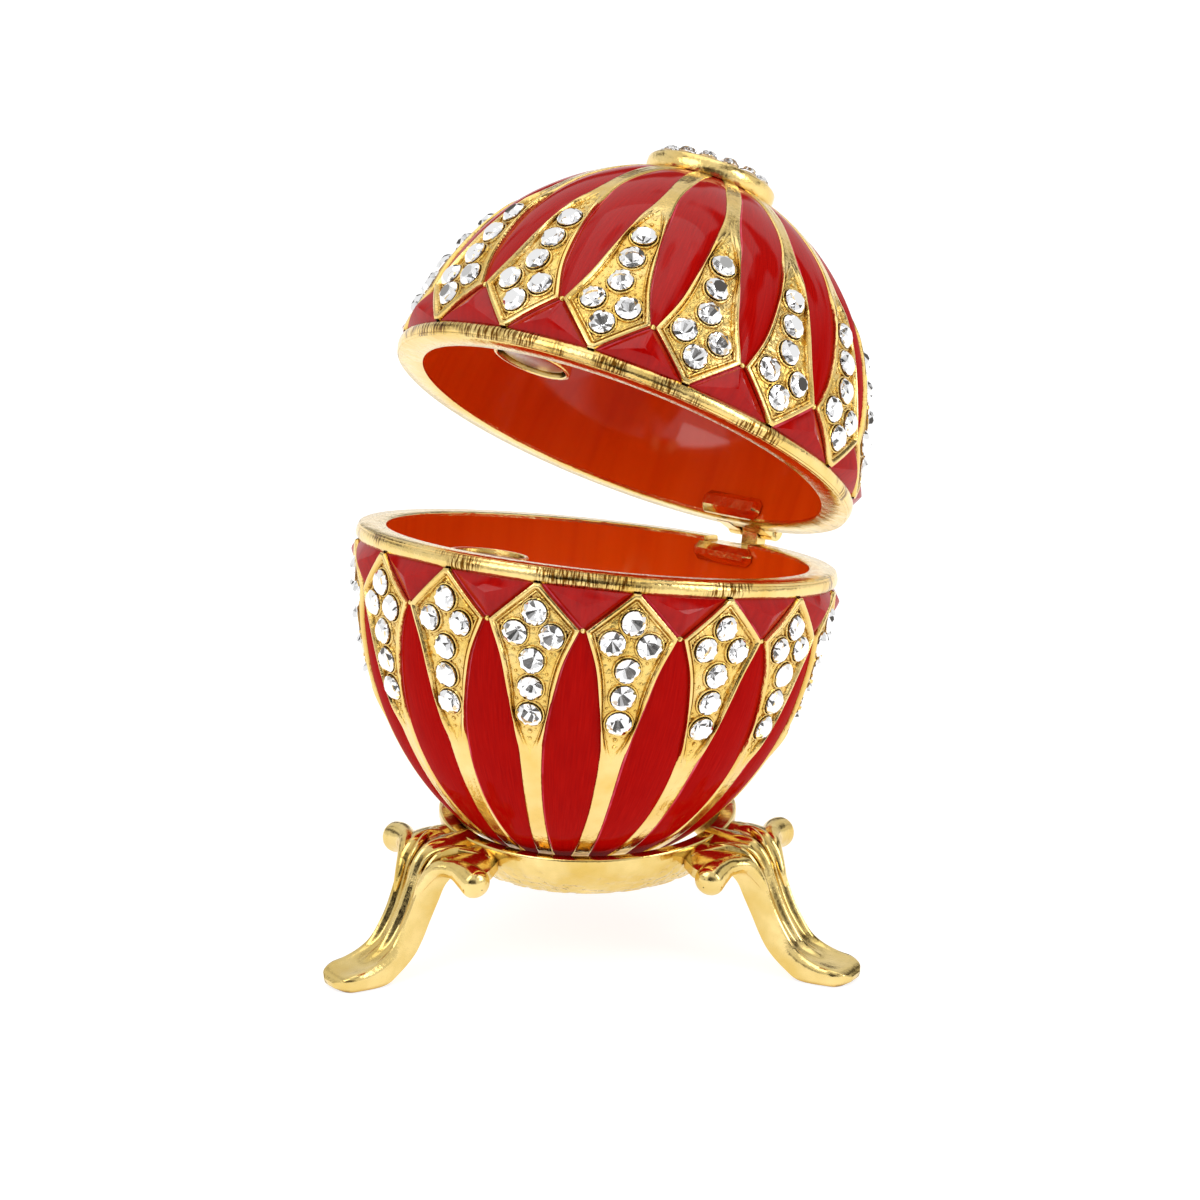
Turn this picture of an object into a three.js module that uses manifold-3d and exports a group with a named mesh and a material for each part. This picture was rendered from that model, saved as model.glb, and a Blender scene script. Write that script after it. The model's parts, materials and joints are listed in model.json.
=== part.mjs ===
// A jewelled egg trinket box on a three-legged stand, with its lid ajar.
// Millimetres, +Z up, -Y is the front and +X the viewer's right. Azimuths are in degrees from the
// front, turning towards +X.
import * as THREE from 'three';
import Module from 'manifold-3d';

const wasm = await Module();
wasm.setup();

// ---- egg: two half ellipsoids that meet at the rim ----
const SECTORS = 15;
const STEP = 360 / SECTORS;
const FIRST_KITE = 8.4;
const RIM_RADIUS = 22.5;
const RIM_LAND = 2.45;
const BASE_DEPTH = 30.3;
const LID_HEIGHT = 26;
const FLOOR_WALL = 2;
const CAP_RADIUS = 4.8;
const LINING_ROWS = [0, 7.5, 15, 21];

// ---- relief: half widths of the kites, in mm, at depths from the rim plane ----
const BAND_DEPTH = 1.58;
const BAND_CREST = 1.3;
const BAND_RAISE = 0.3;
const KITE_OUTLINE = [[BAND_DEPTH, 0.35], [5.5, 4.42], [8.95, 3], [11.6, 2.35], [14.15, 1.75], [17.5, 1.2]];
const KITE_CREST = [[1.8, 0], [5.55, 4], [8.95, 2.62], [11.6, 2.02], [14.15, 1.58], [17.5, 0.9]];
const KITE_FIELD = [[2.55, 0], [5.75, 3.42], [8.95, 2.2], [11.6, 1.64], [14.15, 1.42], [18.2, 0]];
// where the egg has these radii, the kite's tail has these half widths at its outline and its crest
const KITE_TAIL = [[15.5, 0.9, 0.52], [10.5, 0.82, 0.46], [CAP_RADIUS, 0.8, 0.45]];
const CREST_RAISE = 0.42;
const TAIL_RAISE = 0.16;
// how far a petal's middle line stands up, at the kite's stations from its corner to the cap
const PETAL_RAISE = [0, 0.14, 0.22, 0.26, 0.25, 0.2, 0.12, 0];
const PILLOW_PEAK = [3.1, 0.5];

// ---- clear stones: row depth and azimuth from the kite's middle ----
const STONE_ROWS = [[4.38, 0], [6.5, -4.62], [6.5, 4.62], [8.95, 0], [11.58, 0], [14.15, 0]];
const STONE_RADIUS = 1.26;
const STONE_HEIGHT = 0.85;
const STONE_SIDES = 5;

// ---- hinge and catch ----
const HINGE_AZIMUTH = FIRST_KITE + 5.5 * STEP;
const CATCH_AZIMUTH = HINGE_AZIMUTH - 180;
const PIN_REACH = 24.25;
const PIN_HEIGHT = 1.05;
const PIN_RADIUS = 0.4;
const BARREL_RADIUS = 0.9;
const PIN_CLEARANCE = 0.05;
const KNUCKLE_WIDTH = 1.9;
const EAR_WIDTH = 1.6;
const EAR_GAP = 0.3;
const RIM_GAP = 0.35;
const LID_OPENING = 24.3;
const CUP_RADIUS = 3.8;
const CUP_REACH = 16.6;
const CUP_DEPTH = 2.6;
const CUP_SINK = 0.3;
const MAGNET_RADIUS = 3.1;
const MAGNET_THICKNESS = 1.6;
const MAGNET_SINK = 0.55;
const MAGNET_GAP = 0.3;
const CUP_TAPER = 0.3;
const ROUND_SIDES = 14;
const BARREL_SIDES = 10;
const PIN_PROUD = 0.15;
const NOTCH_DEPTH = 0.45;
const BOSS_REACH = 3.6;
const BOSS_DEPTH = 2.2;
// blocks of the hinge run this far into the wall that carries them
const HINGE_ROOT = 1;

// ---- top button ----
const BUTTON_RADIUS = 6.3;
const BUTTON_HEIGHT = 1.75;
const BUTTON_RIM = 0.5;
const BUTTON_FLARE = 0.35;
const BUTTON_SINK = 0.25;
// its foot is below the dome's pole, so its underside is dished: radius and height above the foot
const BUTTON_DROP = 0.7;
const BUTTON_DISH = [[0, 1.02], [2.7, 0.87], [4.8, 0.45]];
// it is set a little to one side of the pole, and tilts with the dome there
const BUTTON_SHIFT = -0.75;
const BUTTON_TILT = Math.atan(BUTTON_SHIFT * LID_HEIGHT / RIM_RADIUS ** 2);
// its rings of stones: how many and their reach
const BUTTON_RINGS = [[1, 0], [7, 2.5], [14, 4.75]];
const BUTTON_STONE = 0.95;
const BUTTON_STONE_HEIGHT = 0.9;

// ---- stand ----
const RING_TOP = 12.66;
const RING_RADIUS = 14.07;
const RING_PROFILE = [[12.5, 12.45], [RING_RADIUS - 0.25, RING_TOP], [RING_RADIUS, 12.35], [13.75, 11],
  [12.9, 9.5], [11.5, 8.2], [10.8, 8.4]];
const RING_SIDES = 30;
const LEG_AZIMUTHS = [-58.15, 61.85, 181.85];

// corners closer than this are one corner
const WELD = 1e-4;
// a pocket's cut starts this far outside its mouth
const MOUTH_CUT = 0.02;

// ---- the egg's seat in the stand: it leans back and to the right ----
const RIM_CENTRE = new THREE.Vector3(0.98, 2.6, 37.95);
const LEAN = 15.3;
const LEAN_AZIMUTH = 180 - 23.6;

const rad = THREE.MathUtils.degToRad;
const deg = THREE.MathUtils.radToDeg;

// ======================================================================== solids

// A closed skin of triangles, with shared corners. Each facet is ordered in a flat map of the
// surface, so that it can face the right way in space.
class Skin {
  constructor() {
    this.corners = [];
    this.faces = [];
    this.known = new Map();
  }

  corner(point) {
    const key = point.toArray().map((value) => Math.round(value / WELD) + 0).join();
    if (!this.known.has(key)) {
      this.known.set(key, this.corners.length / 3);
      this.corners.push(point.x, point.y, point.z);
    }
    return this.known.get(key);
  }

  // outline and holes are lists of {map: Vector2, point: Vector3}; turn is 1 or -1
  patch(outline, holes, turn) {
    const flat = (loop) => loop.map((item) => item.map);
    const all = [outline, ...holes].flat();
    for (const face of THREE.ShapeUtils.triangulateShape(flat(outline), holes.map(flat))) {
      const [a, b, c] = face.map((index) => all[index].map);
      const area = (b.x - a.x) * (c.y - a.y) - (b.y - a.y) * (c.x - a.x);
      const ordered = area * turn > 0 ? face : [face[0], face[2], face[1]];
      this.faces.push(...ordered.map((index) => this.corner(all[index].point)));
    }
  }

  geometry() {
    const geometry = new THREE.BufferGeometry();
    geometry.setAttribute('position', new THREE.Float32BufferAttribute(this.corners, 3));
    geometry.setIndex(this.faces);
    return geometry;
  }
}

function signedVolume(geometry) {
  const place = geometry.getAttribute('position');
  const index = geometry.index.array;
  const [a, b, c] = [new THREE.Vector3(), new THREE.Vector3(), new THREE.Vector3()];
  let total = 0;
  for (let i = 0; i < index.length; i += 3) {
    a.fromBufferAttribute(place, index[i]);
    b.fromBufferAttribute(place, index[i + 1]);
    c.fromBufferAttribute(place, index[i + 2]);
    total += a.dot(b.cross(c)) / 6;
  }
  return total;
}

function toSolid(geometry) {
  const skin = new Skin();
  const place = geometry.getAttribute('position');
  const count = geometry.index ? geometry.index.count : place.count;
  for (let i = 0; i < count; i += 3) {
    const face = [0, 1, 2].map((k) => {
      const vertex = geometry.index ? geometry.index.getX(i + k) : i + k;
      return skin.corner(new THREE.Vector3().fromBufferAttribute(place, vertex));
    });
    if (new Set(face).size === 3) skin.faces.push(...face);
  }
  const merged = skin.geometry();
  const faces = skin.faces;
  if (signedVolume(merged) < 0) {
    for (let i = 0; i < faces.length; i += 3) [faces[i], faces[i + 1]] = [faces[i + 1], faces[i]];
  }
  return new wasm.Manifold(new wasm.Mesh({
    numProp: 3,
    vertProperties: new Float32Array(skin.corners),
    triVerts: new Uint32Array(faces),
  }));
}

function toGeometry(solid) {
  const mesh = solid.getMesh();
  const geometry = new THREE.BufferGeometry();
  geometry.setAttribute('position', new THREE.BufferAttribute(new Float32Array(mesh.vertProperties), 3));
  geometry.setIndex(Array.from(mesh.triVerts));
  return geometry;
}

// A closed loft through sections that hold the same number of points
function loft(sections) {
  const skin = new Skin();
  const sides = sections[0].length;
  const index = sections.map((section) => section.map((point) => skin.corner(point)));
  const quad = (a, b, c, d) => skin.faces.push(a, b, c, a, c, d);
  for (let row = 0; row + 1 < sections.length; row += 1) {
    for (let k = 0; k < sides; k += 1) {
      const next = (k + 1) % sides;
      quad(index[row][k], index[row][next], index[row + 1][next], index[row + 1][k]);
    }
  }
  const close = (row, forward) => {
    const middle = new THREE.Vector3();
    sections[row].forEach((point) => middle.addScaledVector(point, 1 / sides));
    const hub = skin.corner(middle);
    for (let k = 0; k < sides; k += 1) {
      const next = (k + 1) % sides;
      const face = forward ? [index[row][k], index[row][next], hub] : [index[row][next], index[row][k], hub];
      skin.faces.push(...face);
    }
  };
  close(0, false);
  close(sections.length - 1, true);
  return toSolid(skin.geometry());
}

function radial(azimuth, reach, z) {
  return new THREE.Vector3(reach * Math.sin(rad(azimuth)), -reach * Math.cos(rad(azimuth)), z);
}

// A block or cylinder geometry placed in a frame whose X points outwards at an azimuth
function placeOutward(geometry, azimuth, reach, side, z) {
  geometry.translate(reach, side, z);
  geometry.rotateZ(rad(azimuth - 90));
  return toSolid(geometry);
}

function union(solids) {
  return solids.reduce((whole, solid) => whole.add(solid));
}

// ======================================================================== egg shells

// One half of the egg. up is 1 for the lid, whose depths run upwards, and -1 for the base.
class Half {
  constructor(height, up) {
    this.height = height;
    this.up = up;
    this.skin = new Skin();
  }

  radius(depth) {
    return RIM_RADIUS * Math.sqrt(Math.max(0, 1 - (depth / this.height) ** 2));
  }

  // a corner on the outer ellipsoid, lifted along its normal
  outer(azimuth, depth, raise = 0) {
    const r = this.radius(depth);
    const normal = new THREE.Vector2(r / RIM_RADIUS ** 2, depth / this.height ** 2).normalize();
    const point = radial(azimuth, r + raise * normal.x, this.up * (depth + raise * normal.y));
    return { map: new THREE.Vector2(azimuth, depth), point };
  }

  lining(azimuth, depth) {
    const r = (RIM_RADIUS - RIM_LAND) * Math.sqrt(Math.max(0, 1 - (depth / (this.height - FLOOR_WALL)) ** 2));
    return { map: new THREE.Vector2(azimuth, depth), point: radial(azimuth, r, this.up * depth) };
  }

  // a corner at a distance in mm to the side of a kite's middle line
  beside(azimuth, depth, width, raise = 0) {
    return this.outer(azimuth + deg(width / this.radius(depth)), depth, raise);
  }

  // a kite's stations: those near the rim by depth, then those of its tail by the egg's radius
  stations(upper, column) {
    const depthAt = (radius) => this.height * Math.sqrt(1 - (radius / RIM_RADIUS) ** 2);
    return [...upper, ...KITE_TAIL.map((row) => [depthAt(row[0]), row[column]])];
  }

  // the side of a kite's outline, from its apex at the band to the cap; side is 1 or -1
  kiteSide(azimuth, side) {
    return this.stations(KITE_OUTLINE, 1).map(([depth, width], index) => (
      this.beside(azimuth, depth, side * width, index === 0 ? BAND_RAISE : 0)));
  }

  crestSide(azimuth, side) {
    return this.stations(KITE_CREST, 2).map(([depth, width], index) => {
      const raise = index + 1 < KITE_CREST.length ? CREST_RAISE : TAIL_RAISE;
      return this.beside(azimuth, depth, side * width, raise);
    });
  }

  loopOfSides(right, left) {
    const sameTop = right[0].point.distanceTo(left[0].point) < 1e-6;
    return [...right, ...left.slice(sameTop ? 1 : 0).reverse()];
  }

  band(azimuth) {
    const half = deg(KITE_OUTLINE[0][1] / this.radius(BAND_DEPTH));
    const azimuths = [-half, half, STEP / 3, 2 * STEP / 3, STEP - half].map((a) => azimuth + a);
    const row = (depth, raise) => azimuths.map((a) => this.outer(a, depth, raise));
    const foot = azimuths.map((a, k) => this.outer(a, BAND_DEPTH, k === 2 || k === 3 ? 0 : BAND_RAISE));
    const rows = [row(0, 0), row(BAND_CREST, BAND_RAISE), foot];
    for (let k = 0; k + 1 < rows.length; k += 1) {
      this.skin.patch([...rows[k], ...rows[k + 1].toReversed()], [], this.up);
    }
    const rim = azimuths.map((a) => ({ ...this.outer(a, 0), map: new THREE.Vector2(a, 0) }));
    const edge = [STEP, STEP / 2, 0].map((a) => (
      { ...this.lining(azimuth + a, 0), map: new THREE.Vector2(azimuth + a, 5) }));
    this.skin.patch([...rim, ...edge], [], -this.up);
    return foot;
  }

  // the raised border, the sunk field and the stones of one kite
  kite(azimuth) {
    const [right, left] = [1, -1].map((side) => this.kiteSide(azimuth, side));
    const [crestRight, crestLeft] = [1, -1].map((side) => this.crestSide(azimuth, side));
    this.strip(right, crestRight);
    this.strip(left, crestLeft);
    this.skin.patch([right[0], crestRight[0], left[0]], [], this.up);
    const field = [1, -1].map((side) => (
      KITE_FIELD.map(([depth, width]) => this.beside(azimuth, depth, side * width))));
    const fieldLoop = this.loopOfSides(field[0], field[1].slice(0, -1));
    const split = KITE_CREST.length + 1;
    const border = this.loopOfSides(crestRight.slice(0, split), crestLeft.slice(0, split));
    this.skin.patch(border, [fieldLoop], this.up);
    this.strip(crestRight.slice(split - 1), crestLeft.slice(split - 1));
    const seats = STONE_ROWS.map(([depth, offset]) => this.stoneRing(azimuth + offset, depth));
    this.skin.patch(fieldLoop, seats, this.up);
    STONE_ROWS.forEach(([depth, offset], k) => {
      const tip = this.outer(azimuth + offset, depth, STONE_HEIGHT);
      seats[k].forEach((corner, j) => {
        this.skin.patch([corner, seats[k][(j + 1) % STONE_SIDES], tip], [], this.up);
      });
    });
  }

  // quads between two lines of corners
  strip(first, second) {
    for (let k = 0; k + 1 < first.length; k += 1) {
      this.skin.patch([first[k], first[k + 1], second[k + 1], second[k]], [], this.up);
    }
  }

  stoneRing(azimuth, depth) {
    const slope = RIM_RADIUS * depth / (this.height ** 2 * Math.sqrt(1 - (depth / this.height) ** 2));
    const along = STONE_RADIUS / Math.hypot(1, slope);
    return Array.from({ length: STONE_SIDES }, (_, k) => {
      const turn = 2 * Math.PI * k / STONE_SIDES;
      return this.beside(azimuth, depth + along * Math.cos(turn), STONE_RADIUS * Math.sin(turn));
    });
  }

  // the three-facet pillow between two kites at the band, and the long petal beyond their corners
  enamel(azimuth, foot) {
    const right = this.kiteSide(azimuth, 1);
    const left = this.kiteSide(azimuth + STEP, -1);
    const middle = azimuth + STEP / 2;
    const peak = this.outer(middle, ...PILLOW_PEAK);
    const edge = [...foot.slice(1), left[1], right[1]];
    edge.forEach((corner, k) => {
      this.skin.patch([corner, edge[(k + 1) % edge.length], peak], [], this.up);
    });
    const depths = this.stations(KITE_OUTLINE, 1).slice(1).map((station) => station[0]);
    const line = depths.map((depth, k) => this.outer(middle, depth, PETAL_RAISE[k])).slice(1, -1);
    this.skin.patch([right[1], left[1], line[0]], [], this.up);
    this.skin.patch([right[1], right[2], line[0]], [], this.up);
    this.skin.patch([left[1], left[2], line[0]], [], this.up);
    this.strip(right.slice(2, -1), line);
    this.strip(line, left.slice(2, -1));
    this.skin.patch([line.at(-1), right.at(-2), right.at(-1), left.at(-1), left.at(-2)], [], this.up);
  }

  cap(azimuth) {
    const tip = this.outer(azimuth + STEP / 2, this.height);
    const crests = [-1, 1].map((side) => this.crestSide(azimuth, side).at(-1));
    const outlines = [-1, 1].map((side) => this.kiteSide(azimuth, side).at(-1));
    const next = this.kiteSide(azimuth + STEP, -1).at(-1);
    const edge = [outlines[0], ...crests, outlines[1], next];
    for (let k = 0; k + 1 < edge.length; k += 1) {
      const map = new THREE.Vector2((edge[k].map.x + edge[k + 1].map.x) / 2, this.height);
      this.skin.patch([edge[k], edge[k + 1], { ...tip, map }], [], this.up);
    }
  }

  liningSector(azimuth) {
    const columns = [0, STEP / 2, STEP].map((a) => azimuth + a);
    for (let k = 0; k + 1 < columns.length; k += 1) {
      const [a, b] = [columns[k], columns[k + 1]];
      for (let row = 0; row + 1 < LINING_ROWS.length; row += 1) {
        const [top, foot] = [LINING_ROWS[row], LINING_ROWS[row + 1]];
        const quad = [this.lining(a, top), this.lining(b, top), this.lining(b, foot), this.lining(a, foot)];
        this.skin.patch(quad, [], -this.up);
      }
      const rim = LINING_ROWS.at(-1);
      const pole = this.lining((a + b) / 2, this.height - FLOOR_WALL);
      this.skin.patch([this.lining(a, rim), this.lining(b, rim), pole], [], -this.up);
    }
  }

  solid() {
    for (let k = 0; k < SECTORS; k += 1) {
      const azimuth = FIRST_KITE + k * STEP;
      const foot = this.band(azimuth);
      this.kite(azimuth);
      this.enamel(azimuth, foot);
      this.cap(azimuth);
      this.liningSector(azimuth);
    }
    return toSolid(this.skin.geometry());
  }
}

// An upright round piece at the catch, from one depth to another behind the rim plane
function atCatch(mouthRadius, footRadius, mouth, foot, up) {
  const round = new THREE.CylinderGeometry(mouthRadius, footRadius, foot - mouth, ROUND_SIDES);
  round.rotateX(-up * Math.PI / 2);
  return placeOutward(round, CATCH_AZIMUTH, CUP_REACH, 0, up * (mouth + foot) / 2);
}

// The magnet's cup grows out of the wall at the front, with its mouth just inside the rim plane.
function magnetCup(shell, up) {
  const cup = atCatch(CUP_RADIUS, CUP_RADIUS - CUP_TAPER, CUP_SINK, CUP_SINK + CUP_DEPTH, up);
  const pocketRadius = MAGNET_RADIUS + MAGNET_GAP;
  const floor = CUP_SINK + MAGNET_SINK + MAGNET_THICKNESS + MAGNET_GAP;
  return shell.add(cup).subtract(atCatch(pocketRadius, pocketRadius, CUP_SINK - MOUTH_CUT, floor, up));
}

function barrel(width, side) {
  const body = new THREE.CylinderGeometry(BARREL_RADIUS, BARREL_RADIUS, width, BARREL_SIDES);
  return placeOutward(body, HINGE_AZIMUTH, PIN_REACH, side, PIN_HEIGHT);
}

function pinBore(length) {
  const radius = PIN_RADIUS + PIN_CLEARANCE;
  const bore = new THREE.CylinderGeometry(radius, radius, length, BARREL_SIDES);
  return placeOutward(bore, HINGE_AZIMUTH, PIN_REACH, 0, PIN_HEIGHT);
}

function block(inner, outer, width, side, low, high) {
  const box = new THREE.BoxGeometry(outer - inner, width, high - low);
  return placeOutward(box, HINGE_AZIMUTH, (inner + outer) / 2, side, (low + high) / 2);
}

const EAR_OFFSET = (KNUCKLE_WIDTH + EAR_WIDTH) / 2 + EAR_GAP;
const HINGE_WIDTH = 2 * EAR_OFFSET + EAR_WIDTH;
const BORE_LENGTH = 2 * HINGE_WIDTH;
const NOTCH_WIDTH = HINGE_WIDTH + 0.5;
const BOSS_WIDTH = HINGE_WIDTH + 1.5;
const POST_INNER = PIN_REACH - BARREL_RADIUS + 0.1;
const POST_OUTER = PIN_REACH + 0.65;
const EAR_HALF = 0.72;
// how far the bosses stay back from the rim plane
const RIM_STEP = 0.05;

function eggBase() {
  const shell = magnetCup(new Half(BASE_DEPTH, -1).solid(), -1);
  const root = RIM_RADIUS - HINGE_ROOT;
  const boss = block(RIM_RADIUS - BOSS_REACH, root, BOSS_WIDTH, 0, -BOSS_DEPTH, -RIM_STEP);
  // room in the rim for the lid's ears, then the post that carries the middle barrel
  const [inner, outer] = [RIM_RADIUS - BOSS_REACH, RIM_RADIUS + BOSS_REACH];
  const notch = block(inner, outer, NOTCH_WIDTH, 0, -NOTCH_DEPTH, BOSS_REACH);
  const shelf = block(root, POST_OUTER, KNUCKLE_WIDTH, 0, -BOSS_DEPTH, -NOTCH_DEPTH);
  const post = block(POST_INNER, POST_OUTER, KNUCKLE_WIDTH, 0, -2 * NOTCH_DEPTH, PIN_HEIGHT);
  const knuckle = union([shelf, post, barrel(KNUCKLE_WIDTH, 0)]);
  return shell.add(boss).subtract(notch).add(knuckle).subtract(pinBore(BORE_LENGTH));
}

function eggLid() {
  const shell = magnetCup(new Half(LID_HEIGHT, 1).solid(), 1);
  const root = RIM_RADIUS - HINGE_ROOT;
  const boss = block(RIM_RADIUS - BOSS_REACH, root, BOSS_WIDTH, 0, RIM_STEP, BOSS_DEPTH);
  const [low, high] = [PIN_HEIGHT - EAR_HALF, PIN_HEIGHT + EAR_HALF];
  const ears = [-1, 1].map((side) => union([
    block(root, PIN_REACH + PIN_RADIUS, EAR_WIDTH, side * EAR_OFFSET, low, high),
    barrel(EAR_WIDTH, side * EAR_OFFSET),
  ]).translate(0, 0, -RIM_GAP));
  const bore = pinBore(BORE_LENGTH).translate(0, 0, -RIM_GAP);
  return union([shell.add(boss), ...ears]).subtract(bore);
}

function magnet(up) {
  const mouth = CUP_SINK + MAGNET_SINK - MAGNET_GAP / 2;
  return atCatch(MAGNET_RADIUS, MAGNET_RADIUS, mouth, mouth + MAGNET_THICKNESS, up);
}

function hingePin() {
  const length = HINGE_WIDTH + 2 * PIN_PROUD;
  const pin = new THREE.CylinderGeometry(PIN_RADIUS, PIN_RADIUS, length, BARREL_SIDES);
  return placeOutward(pin, HINGE_AZIMUTH, PIN_REACH, 0, PIN_HEIGHT);
}

// A round button with a stone in the middle and two rings of stones around it. Its foot is at 0.
function topButton() {
  const top = BUTTON_HEIGHT;
  const field = top - BUTTON_SINK;
  const inside = BUTTON_RADIUS - BUTTON_RIM;
  const profile = [...BUTTON_DISH, [BUTTON_RADIUS - BUTTON_FLARE, 0], [BUTTON_RADIUS, 0.42 * top],
    [BUTTON_RADIUS, 0.8 * top], [BUTTON_RADIUS - 0.2, top], [inside, top], [inside - 0.1, field], [0, field]];
  const body = new THREE.LatheGeometry(profile.map(([r, z]) => new THREE.Vector2(r, z)), ROUND_SIDES * 2);
  body.rotateX(Math.PI / 2);
  const stones = [];
  for (const [count, reach] of BUTTON_RINGS) {
    for (let k = 0; k < count; k += 1) {
      const stone = new THREE.ConeGeometry(BUTTON_STONE, BUTTON_STONE_HEIGHT, STONE_SIDES);
      stone.rotateX(Math.PI / 2);
      const turn = 2 * Math.PI * k / count;
      stone.translate(reach * Math.cos(turn), reach * Math.sin(turn), top);
      stones.push(toSolid(stone));
    }
  }
  return union([toSolid(body), ...stones]);
}

// ======================================================================== stand

// Stations of a leg, from under the fan to the toe: the strap's outer face and its inner face as
// [reach, z], its half width and how far its ribs stand up.
const LEG_STATIONS = [
  [[17.8, 11.9], [16.3, 9.5], 2.2, 0.3],
  [[19, 10.65], [17.1, 8.8], 2.25, 0.35],
  [[19.8, 8.5], [17.65, 7.4], 2.2, 0.35],
  [[20.75, 6.2], [18.5, 5.5], 2.2, 0.35],
  [[21.65, 4.6], [19.3, 3.8], 2.2, 0.35],
  [[22.65, 3.3], [20.3, 2.3], 2.25, 0.3],
  [[23.9, 2.5], [22, 0.9], 2.4, 0.12],
  [[25.5, 2], [23.7, 0], 2.5, 0],
  [[27, 1.75], [26.8, 0], 2.45, 0],
  [[28.15, 1.35], [27.65, 0], 1.9, 0],
  [[28.65, 0.9], [28.5, 0.35], 0.9, 0],
];
// Points of the strap's section: across as a share of the half width, up as a share of the
// thickness, and how much of the rib's height is added.
const STRAP_SECTION = [[-0.8, 0, 0], [0.8, 0, 0], [1, 0.7, 0], [0.82, 1, 1], [0.42, 1, -0.4], [0, 1, 1],
  [-0.42, 1, -0.4], [-0.82, 1, 1], [-1, 0.7, 0]];

function strap() {
  return loft(LEG_STATIONS.map(([face, back, half, rib]) => {
    const outer = new THREE.Vector3(face[0], 0, face[1]);
    const inner = new THREE.Vector3(back[0], 0, back[1]);
    const lift = outer.clone().sub(inner).normalize();
    return STRAP_SECTION.map(([across, up, share]) => {
      const point = inner.clone().lerp(outer, up).addScaledVector(lift, rib * share);
      point.y = across * half;
      return point;
    });
  }));
}

// Stations of the fan between the ring and the shoulder: reach, half width, top, thickness
const FAN_STATIONS = [
  [13.2, 5.7, 12, 1.8],
  [15.6, 7.2, 12.15, 2.1],
  [17, 6.6, 11.95, 2.1],
  [18.5, 2.4, 11.4, 2],
];
const FAN_RIBS = 3;
const FAN_RIB_HEIGHT = 0.45;
// how far its sides hang down where it is widest, and how much less its underside is
const FAN_DROOP = 1.2;
const FAN_WIDEST = 7;
const FAN_UNDERCUT = 0.97;

function fan() {
  const steps = 2 * FAN_RIBS;
  return loft(FAN_STATIONS.map(([reach, half, top, thick]) => {
    const upper = [];
    const lower = [];
    for (let k = 0; k <= steps; k += 1) {
      const share = 2 * k / steps - 1;
      const droop = FAN_DROOP * share ** 2 * half / FAN_WIDEST;
      const rib = k % 2 === 0 ? 0 : FAN_RIB_HEIGHT;
      upper.push(new THREE.Vector3(reach, share * half, top + rib - droop));
      if (k % FAN_RIBS === 0) {
        lower.push(new THREE.Vector3(reach, share * half * FAN_UNDERCUT, top - thick - droop * FAN_UNDERCUT));
      }
    }
    return [...upper, ...lower.reverse()];
  }));
}

// a scroll's middle, as reach, side and height, and its half sizes
const SCROLL_PLACE = [16.75, 6.8, 10.75];
const SCROLL_SIZE = [1.75, 1.3, 1.45];

function scroll(side) {
  const ball = new THREE.SphereGeometry(1, 8, 5);
  ball.rotateX(Math.PI / 2);
  ball.scale(...SCROLL_SIZE);
  ball.translate(SCROLL_PLACE[0], side * SCROLL_PLACE[1], SCROLL_PLACE[2]);
  return toSolid(ball);
}

function stand() {
  const profile = [...RING_PROFILE, RING_PROFILE[0]].map(([r, z]) => new THREE.Vector2(r, z));
  const ring = new THREE.LatheGeometry(profile, RING_SIDES);
  ring.rotateX(Math.PI / 2);
  const leg = union([strap(), fan(), scroll(-1), scroll(1)]);
  const legs = LEG_AZIMUTHS.map((azimuth) => leg.rotate([0, 0, azimuth - 90]));
  return union([toSolid(ring), ...legs]);
}

// ======================================================================== materials

const gold = new THREE.MeshStandardMaterial({ color: 0xd9a62e, metalness: 1, roughness: 0.18 });
const enamel = new THREE.MeshStandardMaterial({ color: 0xb00a08, metalness: 0.2, roughness: 0.12 });
const steel = new THREE.MeshStandardMaterial({ color: 0xa9a9a6, metalness: 1, roughness: 0.4 });
const stones = new THREE.MeshStandardMaterial({ color: 0xe9e9ee, metalness: 0.3, roughness: 0.05 });

// ======================================================================== assembly

function named(name, solid, material) {
  const mesh = new THREE.Mesh(toGeometry(solid), material);
  mesh.name = name;
  return mesh;
}

// The frame of the leaning egg: local Z is its axis and local -Y its front
function leaningFrame() {
  const axis = radial(LEAN_AZIMUTH, Math.sin(rad(LEAN)), Math.cos(rad(LEAN)));
  const front = new THREE.Vector3(0, -1, 0).addScaledVector(axis, axis.y).normalize();
  const side = new THREE.Vector3().crossVectors(axis, front);
  return new THREE.Matrix4().makeBasis(side, front.negate(), axis).setPosition(RIM_CENTRE);
}

function lidGroup() {
  const pivot = radial(HINGE_AZIMUTH, PIN_REACH, PIN_HEIGHT);
  const axis = radial(HINGE_AZIMUTH + 90, 1, 0);
  const swing = new THREE.Group();
  swing.position.copy(pivot);
  swing.quaternion.setFromAxisAngle(axis, rad(LID_OPENING));
  const closed = new THREE.Group();
  closed.position.copy(pivot).negate();
  closed.position.z += RIM_GAP;
  const button = named('top_button', topButton(), stones);
  button.rotation.y = BUTTON_TILT;
  button.position.set(BUTTON_SHIFT, 0, LID_HEIGHT - BUTTON_DROP);
  closed.add(named('egg_lid', eggLid(), enamel), named('lid_magnet', magnet(1), steel), button);
  swing.add(closed);
  return swing;
}

const egg = new THREE.Group();
egg.applyMatrix4(leaningFrame());
egg.add(
  named('egg_base', eggBase(), enamel),
  named('base_magnet', magnet(-1), steel),
  named('hinge_pin', hingePin(), gold),
  lidGroup(),
);

const box = new THREE.Group();
box.add(named('stand', stand(), gold), egg);

// the origin is under the middle of the whole object, on the surface that it stands on
box.updateMatrixWorld(true);
const bounds = new THREE.Box3().setFromObject(box, true);
box.position.set(-(bounds.min.x + bounds.max.x) / 2, -(bounds.min.y + bounds.max.y) / 2, -bounds.min.z);

export default box;
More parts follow.
